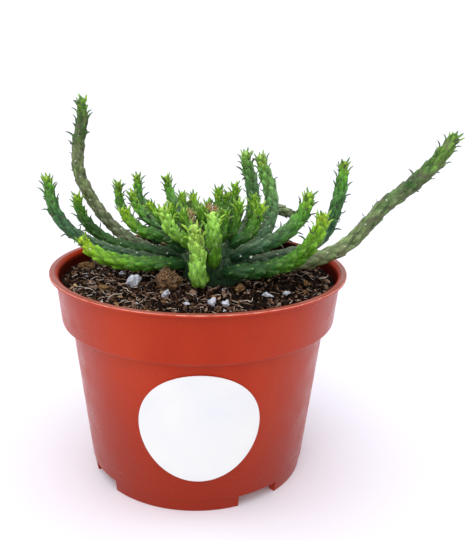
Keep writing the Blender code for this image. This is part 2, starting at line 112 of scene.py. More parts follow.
NOISE = NodeKind("ShaderNodeTexNoise", ("Vector", "Scale", "Detail", "Roughness"), "Fac")
RAMP = NodeKind("ShaderNodeValToRGB", ("Fac",))
RANGE = NodeKind("ShaderNodeMapRange")  # value, from least, from most, to least, to most
MIX = NodeKind("ShaderNodeMix", (0, 6, 7), 2, (("data_type", "RGBA"),))  # share, first and second colour
MAPPING = NodeKind("ShaderNodeMapping", ("Vector", "Scale"))
BUMP = NodeKind("ShaderNodeBump", ("Height", "Distance", "Strength"))
ATTRIBUTE = NodeKind("ShaderNodeAttribute", output="Fac")
SEPARATE = NodeKind("ShaderNodeSeparateXYZ")
COMBINE = NodeKind("ShaderNodeCombineXYZ")
ADD, SUBTRACT, MULTIPLY, MULTIPLY_ADD, MAXIMUM, POWER, ABOVE, SMOOTH_LEAST, SINE, COSINE = (
    NodeKind("ShaderNodeMath", settings=(("operation", name),)) for name in (
        "ADD", "SUBTRACT", "MULTIPLY", "MULTIPLY_ADD", "MAXIMUM", "POWER", "GREATER_THAN", "SMOOTH_MIN",
        "SINE", "COSINE"))
SUM, GAP, STRETCH, STRETCH_ADD, UNIT, FRACTION, CROSS = (
    NodeKind("ShaderNodeVectorMath", settings=(("operation", name),)) for name in (
        "ADD", "SUBTRACT", "MULTIPLY", "MULTIPLY_ADD", "NORMALIZE", "FRACTION", "CROSS_PRODUCT"))
DOT = NodeKind("ShaderNodeVectorMath", (0, 1), "Value", (("operation", "DOT_PRODUCT"),))
SCALE = NodeKind("ShaderNodeVectorMath", (0, "Scale"), settings=(("operation", "SCALE"),))
READ, READ_VECTOR = (
    NodeKind("GeometryNodeInputNamedAttribute", ("Name",), settings=(("data_type", kind),))
    for kind in ("FLOAT", "FLOAT_VECTOR"))
STORE, STORE_VECTOR = (
    NodeKind("GeometryNodeStoreNamedAttribute", ("Geometry", "Name", "Value"), 0, (("data_type", kind),))
    for kind in ("FLOAT", "FLOAT_VECTOR"))


def add_node(tree: NodeTree, kind: NodeKind | str, *inputs: Any, output: int | str | None = None,
             **settings: Any) -> Any:
    """Add one node with its settings and links.

    Args:
        tree: The tree that gets the node.
        kind: The kind of node, or its type's name.
        inputs: Values or other nodes' outputs in the kind's order, or one dict of them by the inputs' names
            or numbers; a list holds what joins at one input.
        output: The output to hand back, by name or number, where it isn't the kind's own.
        settings: Properties to set before its sockets are used; "stops" gives a ramp's places and colours.

    Returns:
        The chosen output socket, or the node itself where it has no output.
    """
    kind = NodeKind(kind) if isinstance(kind, str) else kind
    node = tree.nodes.new(kind.type_name)
    for name, value in {**dict(kind.settings), **settings}.items():
        if name == "stops":
            elements = node.color_ramp.elements
            elements.remove(elements[1])
            for index, (position, code) in enumerate(value):
                element = elements.new(position) if index else elements[0]
                element.position, element.color = position, linear(code)
        else:
            setattr(node, name, value)
    named = inputs and isinstance(inputs[0], dict)
    for name, value in inputs[0].items() if named else zip(kind.inputs, inputs):
        if not isinstance(value, (bpy.types.NodeSocket, list)):
            node.inputs[name].default_value = value
            continue
        for source in value if isinstance(value, list) else [value]:
            tree.links.new(source, node.inputs[name])
    return node.outputs[kind.output if output is None else output] if len(node.outputs) else node


def link_piece(name: str, data: bpy.types.ID, finish: Material | None = None) -> Object:
    """Put a mesh, a light or a camera in the scene as an object that stands at the origin.

    Args:
        name: The object's name.
        data: The mesh, light or camera.
        finish: A mesh's material, where it has none yet.

    Returns:
        The object.
    """
    if finish:
        data.materials.append(finish)
    piece = bpy.data.objects.new(name, data)
    bpy.context.scene.collection.objects.link(piece)
    return piece


def polar(axis: float, radius: float, turn: float, height: float) -> Point:
    """Return the place at a radius and a turn in radians round an upright axis at X = axis."""
    return axis + radius * math.cos(turn), radius * math.sin(turn), height


def mesh_from(name: str, points: Iterable[Sequence[float]], faces: Iterable[Sequence[int]]) -> Mesh:
    """Make a smooth mesh from points in millimetres.

    Args:
        name: The mesh's name.
        points: Vertex places in mm.
        faces: Vertex numbers of each face.

    Returns:
        The mesh, in metres.
    """
    mesh = bpy.data.meshes.new(name)
    mesh.from_pydata([(x * MM, y * MM, z * MM) for x, y, z in points], [], list(faces))
    mesh.shade_smooth()
    mesh.validate()
    return mesh


def mesh_from_builder(name: str, builder: bmesh.types.BMesh, sharp_angle: float = 180.0) -> Mesh:
    """Turn a bmesh in millimetres into a mesh in metres with its faces pointing outwards.

    Args:
        name: The mesh's name.
        builder: The bmesh, which is freed.
        sharp_angle: Edges that turn more than this many degrees stay sharp.

    Returns:
        The mesh.
    """
    bmesh.ops.scale(builder, vec=(MM, MM, MM), verts=builder.verts)
    bmesh.ops.recalc_face_normals(builder, faces=builder.faces)
    mesh = bpy.data.meshes.new(name)
    builder.to_mesh(mesh)
    builder.free()
    mesh.shade_smooth()
    if sharp_angle < 180.0:
        mesh.set_sharp_from_angle(angle=math.radians(sharp_angle))
    return mesh


def ring_faces(first: Ring, second: Ring) -> list[tuple[int, ...]]:
    """Join two rings of vertex numbers, or a ring and a single vertex, with faces.

    Args:
        first: The first ring.
        second: The ring after it; where either has one number, the faces meet there.

    Returns:
        The vertex numbers of each face.
    """
    count = max(len(first), len(second))
    faces: list[tuple[int, ...]] = []
    for index in range(count):
        following = (index + 1) % count
        if len(first) == 1:
            faces.append((first[0], second[following], second[index]))
        elif len(second) == 1:
            faces.append((first[index], first[following], second[0]))
        else:
            faces.append((first[index], first[following], second[following], second[index]))
    return faces


def skin_faces(rings: Sequence[Ring], inside_out: bool = False) -> list[tuple[int, ...]]:
    """Join a row of rings of vertex numbers with faces.

    Args:
        rings: The rings, each beside the one before.
        inside_out: Whether the faces look the other way.

    Returns:
        The vertex numbers of each face.
    """
    faces = [face for first, second in zip(rings, rings[1:]) for face in ring_faces(first, second)]
    return [face[::-1] for face in faces] if inside_out else faces


def rings_of(count: int, sides: int) -> list[Ring]:
    """Number the vertices of rings that follow one another.

    Args:
        count: How many vertices there are in all.
        sides: How many each ring has.

    Returns:
        The rings of vertex numbers.
    """
    return [list(range(start, start + sides)) for start in range(0, count, sides)]


def tube_faces(count: int, sides: int) -> list[Sequence[int]]:
    """Skin a tube of rings that follow one another, and close both its ends.

    Args:
        count: How many vertices there are in all.
        sides: How many each ring has.

    Returns:
        The vertex numbers of each face.
    """
    rings = rings_of(count, sides)
    return [rings[0], rings[-1][::-1], *skin_faces(rings, inside_out=True)]


def collect(name: str, shapes: Iterable[Mesh]) -> Collection:
    """Gather the shapes that a tree repeats.

    Args:
        name: The collection's name.
        shapes: The shapes; a tree numbers them in the order of their names.

    Returns:
        The collection, which stays out of the scene.
    """
    collection = bpy.data.collections.new(name)
    for shape in shapes:
        collection.objects.link(bpy.data.objects.new(shape.name, shape))
    return collection


def geometry_tree(name: str, sockets: dict[str, str]) -> tuple[NodeTree, dict[str, Any]]:
    """Start a Geometry Nodes tree with named inputs.

    Args:
        name: The tree's name.
        sockets: The kind of each named input after the geometry, such as Float or Material.

    Returns:
        The tree, and the output socket of each input by name.
    """
    tree = bpy.data.node_groups.new(name, "GeometryNodeTree")
    tree.interface.new_socket("Geometry", in_out="INPUT", socket_type="NodeSocketGeometry")
    for label, kind in sockets.items():
        tree.interface.new_socket(label, in_out="INPUT", socket_type=f"NodeSocket{kind}")
    tree.interface.new_socket("Geometry", in_out="OUTPUT", socket_type="NodeSocketGeometry")
    entry = tree.nodes.new("NodeGroupInput")
    return tree, {socket.name: socket for socket in entry.outputs if socket.name}


def grow(name: str, base: Mesh, tree: NodeTree, values: dict[str, Any],
         kept: Sequence[str] = ()) -> Object:
    """Run a Geometry Nodes tree on a mesh and keep the result as a plain mesh.

    Args:
        name: Name of the finished piece.
        base: The mesh that the tree starts from, which is removed.
        tree: The Geometry Nodes tree.
        values: A value for each of the tree's named inputs.
        kept: The attributes that the piece's materials read.

    Returns:
        The finished piece.
    """
    carrier = link_piece(f"{name}_carrier", base)
    modifier = carrier.modifiers.new(tree.name, "NODES")
    modifier.node_group = tree
    for item in tree.interface.items_tree:
        if item.in_out == "INPUT" and item.name in values:
            modifier[item.identifier] = values[item.name]
    graph = bpy.context.evaluated_depsgraph_get()
    mesh = bpy.data.meshes.new_from_object(carrier.evaluated_get(graph), depsgraph=graph)
    mesh.name = name
    bpy.data.objects.remove(carrier)
    bpy.data.meshes.remove(base)
    builtin = {"position", "material_index", "sharp_face", "sharp_edge", *kept}
    for extra in [a.name for a in mesh.attributes if a.name not in builtin and not a.name.startswith(".")]:
        mesh.attributes.remove(mesh.attributes[extra])
    return link_piece(name, mesh)


def set_attribute(mesh: Mesh, name: str, values: Iterable[float]) -> None:
    """Store one number for each vertex of a mesh under a name."""
    mesh.attributes.new(name, "FLOAT", "POINT").data.foreach_set("value", list(values))


def dress(piece: Object, slot: str, *nodes: str) -> None:
    """Hand a finished piece to the frame.

    Args:
        piece: The piece, in place.
        slot: The record's material slot; not used.
        nodes: The solids that it stands for.
    """
    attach(piece, BODY)
    if nodes:
        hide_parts(*nodes)
    faces, solids = len(piece.data.polygons), ", ".join(nodes) or "no solid"
    LOG.info("%s: %d faces, stands for %s", piece.name, faces, solids)


# ---------------------------------------------------------------- finishes


@dataclass(frozen=True)
class Finish:
    """What every finish has: a material made of nodes that reads Object coordinates or attributes."""

    name: str

    def start(self, roughness: float, ior: float, gloss: float = 0.5) -> tuple[
            Material, Callable[..., Any], Any]:
        """Make the material and set what is the same all over it.

        Args:
            roughness: The surface's even roughness, unless nodes drive it.
            ior: Index of refraction of the surface.
            gloss: Specular level of the surface.

        Returns:
            The material, a call that adds a node to it, and its Object coordinates.
        """
        material = bpy.data.materials.new(self.name)
        material.use_nodes = True
        for label, value in (("Roughness", roughness), ("IOR", ior), ("Specular IOR Level", gloss)):
            self.shader(material).inputs[label].default_value = value
        add = partial(add_node, material.node_tree)
        return material, add, add("ShaderNodeTexCoord", output="Object")

    def shader(self, material: Material) -> bpy.types.Node:
        """Return the shader node of a material."""
        return next(node for node in material.node_tree.nodes if node.type == "BSDF_PRINCIPLED")

    def layered(self, add: Callable[..., Any], color: Any, *layers: tuple[Any, str]) -> Any:
        """Lay colours one over another.

        Args:
            add: The call that adds a node to the material.
            color: The colour underneath.
            layers: How far each next colour covers what lies below it, and its hex code.

        Returns:
            The colour of them all.
        """
        for share, code in layers:
            color = add(MIX, share, color, linear(code))
        return color

    def finished(self, material: Material, color: Any, rough: Any = None,
                 bump: Any = None) -> Material:
        """Link what drives the shader.

        Args:
            material: The material.
            color: The output that gives its base colour.
            rough: The output that gives its roughness, where that varies.
            bump: The output that gives its fine relief, if any.

        Returns:
            The material.
        """
        for label, source in (("Base Color", color), ("Roughness", rough), ("Normal", bump)):
            if source:
                material.node_tree.links.new(source, self.shader(material).inputs[label])
        return material


@dataclass(frozen=True)
class StemSkin(Finish):
    """Waxy skin of a succulent stem: lime where it grows, deeper green and duller with age.

    The cuticle's wax gives a soft satin shine. Painted shade tints the downward-facing underside a warmer
    green and darkens the grooves and the skin where an arm leaves the head; a painted highlight pales the
    crests.
    """

    tip: str = "#9ccb3c"
    growth: str = "#6fae35"
    middle: str = "#3f7d3a"
    base: str = "#2c5a45"
    # painted shade where an arm leaves the head among the others
    root: str = "#16301f"
    # painted shade: the colour that downward-facing skin takes
    underside_shade: str = "#3d7a22"
    # the colour of the painted highlight on the crests, which the fine wrinkles take too
    ridge: str = "#b3d76a"
    # painted shade in the grooves between the tubercles
    groove_shade: str = "#1c3b1d"
    crest: float = 0.5  # how far the crests of the tubercles take the ridge's colour, a painted highlight
    depth: float = 0.5  # how far painted shade darkens the grooves between them with the groove's colour
    streak: float = 0.6  # how strongly lengthwise streaks lighten and darken the skin
    roughness: float = 0.42
    gloss: float = 0.24  # specular level: the waxy bloom takes the shine down
    bloom: str = "#8f9a78"
    bloomed: float = 0.0  # how far upward-facing skin takes that paler, greyer colour
    corky: str = "#8b7f6c"
    cork: float = 0.0  # how far patches of cork cover the skin
    wrinkle: float = 0.14  # how far the net of fine wrinkles takes the ridge's colour

    def build(self) -> Material:
        """Build the material, which reads each stem's growth, ridge and straightened place.

        Returns:
            The material.
        """
        material, add, place = self.start(self.roughness, 1.45, self.gloss)
        growth = add(ATTRIBUTE, attribute_name="growth")
        ridge = add(ATTRIBUTE, attribute_name="ridge")
        drift = add(MULTIPLY_ADD, add(NOISE, place, per_mm(3.0), 4.0), 0.24, -0.12)
        aged = add(MULTIPLY_ADD, growth, 0.18, drift)
        # Lime at the tip, deeper with age, and at the root the painted shade where the arms crowd
        color = add(RAMP, aged, stops=(
            (0.0, self.tip), (0.12, self.growth), (0.3, self.middle), (0.6, self.base), (0.98, self.root)))

        # Painted shade tints the underside, fading towards the roots; a painted highlight pales the crests
        # and painted shade darkens the grooves between them
        living = add(RANGE, aged, 0.4, 0.75, 1.0, 0.15)
        up = add(SEPARATE, add("ShaderNodeNewGeometry", output="Normal"), output="Z")
        below = add(MULTIPLY, add(RANGE, up, 0.05, -0.75, 0.0, 0.65), living)
        above = add(RANGE, up, 0.25, 0.95, 0.0, self.bloomed)
        crest = add(RANGE, ridge, 0.74, 1.0, 0.0, self.crest)
        groove_shading = add(RANGE, ridge, 0.4, 0.06, 0.0, self.depth)
        color = self.layered(add, color, (below, self.underside_shade), (above, self.bloom), (crest, self.ridge),
                             (groove_shading, self.groove_shade))
        speckle = add(NOISE, place, per_mm(0.7))
        shade = add(RAMP, speckle, stops=((0.25, "#a9a9a9"), (0.5, "#e6e6e6"), (0.75, "#ffffff")))
        color = add(MIX, 0.6, color, shade, blend_type="MULTIPLY")

        # A net of fine wrinkles, wavered and stretched lengthwise, then streaks that run along the stem
        straight = add(ATTRIBUTE, output="Vector", attribute_name="straight")
        waver = add(SCALE, add(NOISE, straight, per_mm(1.5), output="Color"), 2.4 * MM)
        waver = add(MAPPING, add(SUM, straight, waver), (1.0, 1.0, 0.6))
        net = add("ShaderNodeTexVoronoi", {"Vector": waver, "Scale": per_mm(1.3)}, output="Distance",
                  feature="DISTANCE_TO_EDGE")
        net = add(MULTIPLY, add(RANGE, net, 0.02, 0.11, self.wrinkle, 0.0), living)
        color = self.layered(add, color, (net, self.ridge))
        streak = add(NOISE, add(MAPPING, straight, (1.0, 1.0, 0.28)), per_mm(1.3), 4.0, 0.75)
        color = add(SCALE, color, add(RANGE, streak, 0.3, 0.7, 1 - self.streak, 1 + 1.4 * self.streak))
        if self.cork:
            crust = add(RANGE, add(NOISE, place, per_mm(5.0), 5.0, 0.7), 0.45, 0.62, 0.0, self.cork)
            color = self.layered(add, color, (crust, self.corky))
        rough = add(RANGE, speckle, 0.3, 0.7, self.roughness - 0.06, self.roughness + 0.12)
        fine = add(NOISE, place, per_mm(0.6), 3.0)
        return self.finished(material, color, rough, add(BUMP, fine, 0.12 * MM, 0.6))


@dataclass(frozen=True)
class LeafSkin(Finish):
    """Thin, short-lived leaf: lime when fresh, drying from its tip to a dark olive brown."""

    fresh: str = "#a8cf3e"
    grown: str = "#5a8a3a"
    dry: str = "#56693f"
    edge: str = "#3d3a30"

    def build(self) -> Material:
        """Build the material, which reads how far along and how old each leaf is.

        Returns:
            The material.
        """
        material, add, place = self.start(0.5, 1.45)
        along = add(ATTRIBUTE, attribute_name="leaf_along")
        age = add(ATTRIBUTE, attribute_name="place_age")
        worn = add(MULTIPLY_ADD, add(NOISE, place, per_mm(1.2)), 0.4, age)
        body = add(RAMP, worn, stops=((0.15, self.fresh), (0.5, self.grown), (1.0, self.dry)))
        dried = add(RANGE, add(MULTIPLY, along, worn), 0.3, 0.6, 0.0, 0.9)
        return self.finished(material, self.layered(add, body, (dried, self.edge)))


@dataclass(frozen=True)
class Granular(Finish):
    """Matt granular stuff whose pieces differ in tone, such as peat, fibre, bark or perlite."""

    tones: tuple[tuple[float, str], ...] = ((0.0, "#1d140e"), (1.0, "#5b402b"))
    roughness: float = 0.95
    grain: float = 0.5  # size of the flecks, mm
    relief: float = 0.15  # depth of the fine relief, mm
    stretch: Point = (1.0, 1.0, 1.0)  # squeezes the flecks along X, Y and Z
    gloss: float = 0.08  # specular level: damp, open stuff hardly shines
    by_piece: bool = True  # whether each scattered piece has a tone of its own

    def build(self) -> Material:
        """Build the material; a scattered piece's own tone moves it along the row of tones.

        Returns:
            The material.
        """
        material, add, place = self.start(self.roughness, 1.45, self.gloss)
        place = add(MAPPING, place, self.stretch)
        fleck = add(NOISE, place, per_mm(self.grain), 4.0, 0.65)
        if self.by_piece:
            fleck = add(MULTIPLY_ADD, fleck, 0.5, add(ATTRIBUTE, attribute_name="tone"))
            fleck = add(SUBTRACT, fleck, 0.25)
        color = add(RAMP, fleck, stops=self.tones)
        rise = add(NOISE, place, per_mm(self.grain * 0.8), 3.0, 0.7)
        return self.finished(material, color, bump=add(BUMP, rise, self.relief * MM))


@dataclass(frozen=True)
class MouldedPolypropylene(Finish):
    """Terracotta polypropylene, injection moulded: satin, with faint flow marks and handling dust."""

    color: str = "#b9320b"
    pale: str = "#c13a12"
    deep: str = "#ad2b07"
    dust: str = "#cf7a5e"
    # painted shade on the inner wall
    inner_shade: str = "#3a0f09"
    back_shade: str = "#1a0604"  # painted shade behind the plant, where the arms shade the lip and the inner wall
    foot: str = "#8e2206"  # painted shade that deepens the colour towards the foot
    even_from: float = 48.0  # height, mm, above which no painted shade darkens the colour
    roughness: float = 0.3
    gloss: float = 0.24  # specular level of the slightly greasy surface
    grime: str = "#8a4536"  # painted highlight along the outer top edge of the lip
    edge_highlight: str = "#f0a894"  # the edge that is rubbed pale by stacking
    lip_from: float = 73.9  # height, mm, above which the lip is dusty and its edge takes the painted highlight
    inner_shade_top: float = 74.4  # height, mm, above which no painted shade darkens the inner wall
    inner_shade_whole_below: float = 72.6  # height, mm, below which that painted shade is whole
    back_shade_from: float = 22.0  # distance behind the axis, mm, from which painted shade darkens the lip too

    def build(self) -> Material:
        """Build the material: broad drifts of colour, fine dust, painted shade inside, behind the plant and
        towards the foot, a painted highlight on the lip's edge, and a lightly pebbled shine.

        Returns:
            The material.
        """
        material, add, place = self.start(self.roughness, 1.49, self.gloss)
        flow = add(NOISE, add(MAPPING, place, (1.0, 1.0, 0.35)), per_mm(26.0), 3.0)
        color = add(RAMP, flow, stops=((0.3, self.deep), (0.5, self.color), (0.72, self.pale)))
        dust = add(RANGE, add(NOISE, place, per_mm(0.9), 4.0, 0.7), 0.62, 0.8, 0.0, 0.3)

        # Which way each place faces: one straight out from the axis, minus one straight in
        centred = add(MAPPING, {"Vector": place, "Location": (-POT_AXIS_X * MM, 0.0, 0.0)})
        outward = add(UNIT, add(STRETCH, centred, (1.0, 1.0, 0.0)))
        normal = add("ShaderNodeNewGeometry", output="Normal")
        facing = add(DOT, outward, normal)

        # Painted shade darkens the inner wall, and behind the plant, where the arms shade it, the lip as well
        inside = add(RANGE, facing, -0.3, -0.8, 0.0, 0.93)
        level = add(SEPARATE, place, output="Z")
        inner_shading = add(RANGE, level, self.inner_shade_top * MM, self.inner_shade_whole_below * MM, 0.0, 1.0)
        inner_shading = add(MULTIPLY, inner_shading, inside)
        behind = add(SEPARATE, place, output="Y")
        # painted shade behind the plant, where the arms shade the lip and wall
        back_shading = add(RANGE, behind, self.back_shade_from * MM, (self.back_shade_from + 12.0) * MM, 0.0, 0.96)
        back_shading = add(MULTIPLY, back_shading, add(RANGE, facing, 0.35, 0.0, 0.0, 1.0))
        inner_shading = add(MAXIMUM, inner_shading, back_shading)
        # Painted shade: the body darkens towards the foot
        low = add(RANGE, level, self.even_from * MM, 0.0, 0.0, 0.8)

        # The lip is dusty where it is flat; a painted highlight, broken up by noise, lightens its outer top
        # edge
        upward = add(SEPARATE, normal, output="Z")
        on_lip = add(ABOVE, level, self.lip_from * MM)
        flat = add(MULTIPLY, add(RANGE, upward, 0.8, 0.95, 0.0, 0.75), on_lip)
        edge = add(RANGE, upward, 0.2, 0.5, 0.0, 1.0)
        past = add(RANGE, upward, 0.8, 0.95, 1.0, 0.0)
        worn = add(RANGE, add(NOISE, place, per_mm(3.0), 4.0), 0.35, 0.65, 0.2, 1.0)
        for share in (past, worn, add(ABOVE, facing, 0.2), on_lip):
            edge = add(MULTIPLY, edge, share)
        color = self.layered(add, color, (dust, self.dust), (low, self.foot), (inner_shading, self.inner_shade),
                             (back_shading, self.back_shade), (flat, self.grime), (edge, self.edge_highlight))
        haze = add(NOISE, place, per_mm(7.0), 4.0)
        rough = add(RANGE, haze, 0.3, 0.7, self.roughness - 0.05, self.roughness + 0.1)
        rough = add(MAXIMUM, rough, inner_shading)
        pebble = add(NOISE, place, per_mm(1.3), 3.0)
        return self.finished(material, color, rough, add(BUMP, pebble, 0.02 * MM, 0.3))


@dataclass(frozen=True)
class CoatedVinyl(Finish):
    """White label stock with a thin gloss coat: even and bright, with the slightest cool drift."""

    color: str = "#fdfdf8"

    def build(self) -> Material:
        """Build the material: near white, a soft gloss, and the faint relief of the stock below.

        Returns:
            The material.
        """
        material, add, place = self.start(0.32, 1.5)
        drift = add(NOISE, place, per_mm(18.0))
        color = add(RAMP, drift, stops=((0.3, "#f7f8f8"), (0.6, self.color), (0.8, "#fffffa")))
        stock = add(NOISE, place, per_mm(0.8))
        return self.finished(material, color, bump=add(BUMP, stock, 0.006 * MM, 0.5))


@dataclass(frozen=True)
class SeamlessPaper(Finish):
    """White background paper: matt, with no texture that shows at this distance."""

    def build(self) -> Material:
        """Build the material with the slightest unevenness.

        Returns:
            The material.
        """
        material, add, place = self.start(0.9, 1.4)
        drift = add(NOISE, place, per_mm(120.0))
        return self.finished(material, add(RAMP, drift, stops=((0.2, "#fafafd"), (0.8, "#fcfcff"))))


class Age(Enum):
    """How old an arm's skin is, or how pale it has grown in poor light."""

    PALE = "pale"
    YOUNG = "young"
    MATURE = "mature"
    GREY = "grey"
    OLD = "old"


SKIN_SLOTS = {
    Age.PALE: "young_arm_skin", Age.YOUNG: "young_arm_skin", Age.MATURE: "mature_arm_skin",
    Age.GREY: "mature_arm_skin", Age.OLD: "old_arm_skin"}

STEM_SKINS = {
    Age.PALE: StemSkin(
        "pale_stem_cuticle", tip="#b2d656", growth="#b2ea60", middle="#90cf48", base="#50821a",
        root="#386412", underside_shade="#6a9e20", ridge="#e2f4b4", groove_shade="#4a7a1c"),
    Age.YOUNG: StemSkin(
        "young_stem_cuticle", tip="#b0d42a", growth="#76b020", middle="#4a8620", base="#2c5e24",
        root="#12301f", underside_shade="#427f0c", ridge="#bfdc6c", groove_shade="#1d3d0c"),
    Age.MATURE: StemSkin(
        "mature_stem_cuticle", tip="#9cc42a", growth="#5fa52a", middle="#447c34", base="#2e5b3a",
        underside_shade="#3d6c0e", ridge="#a0ca7c", groove_shade="#122c14", crest=0.45, streak=0.75,
        bloomed=0.3),
    Age.GREY: StemSkin(
        "sunned_stem_cuticle", tip="#9cc440", growth="#76b24e", middle="#78ac62", base="#6a9a68",
        root="#2c4a34", underside_shade="#4c7c1c", ridge="#c8e0a4", groove_shade="#25401f", crest=0.45, streak=0.75,
        bloomed=0.3),
    Age.OLD: StemSkin(
        "weathered_stem_cuticle", tip="#6a9e2a", growth="#265419", middle="#7c925c", base="#808c68",
        root="#4c5c48", underside_shade="#5a7030", ridge="#bcc69c", groove_shade="#363e26", crest=0.45, streak=0.9,
        roughness=0.55, cork=0.35, wrinkle=0.07),
}


# ---------------------------------------------------------------- arms

DIVERGENCE = 0.381966  # turn from one tubercle to the next up the spiral, as a share of a whole turn
STEEP, SHALLOW = 3, 5  # numbers of the two families of spirals along which the tubercles touch
APEX = 0.76  # how far up its lozenge each tubercle is highest
WANDER = 0.5  # how far the spirals stray from their rule, as a share of a lozenge
SEAT = 0.5  # share of the tubercles' height that lies inside the arm's full girth
BUD, LEAF, WITHERED, SCAR = 1, 2, 3, 4  # kinds of thing that sit on the tubercles


@dataclass(frozen=True)
class Arm:
    """One arm: where it leaves the head, the way it takes to its tip, and its age.

    Routes are (azimuth in degrees, reach from the head's axis in mm, height in mm).
    """

    name: str
    azimuth: float
    elevation: float
    girth: float
    age: Age
    fresh: float  # length below the tip over which the lime green fades, mm
    leafy: float  # length below the tip that still holds leaves, mm
    route: tuple[Point, ...]


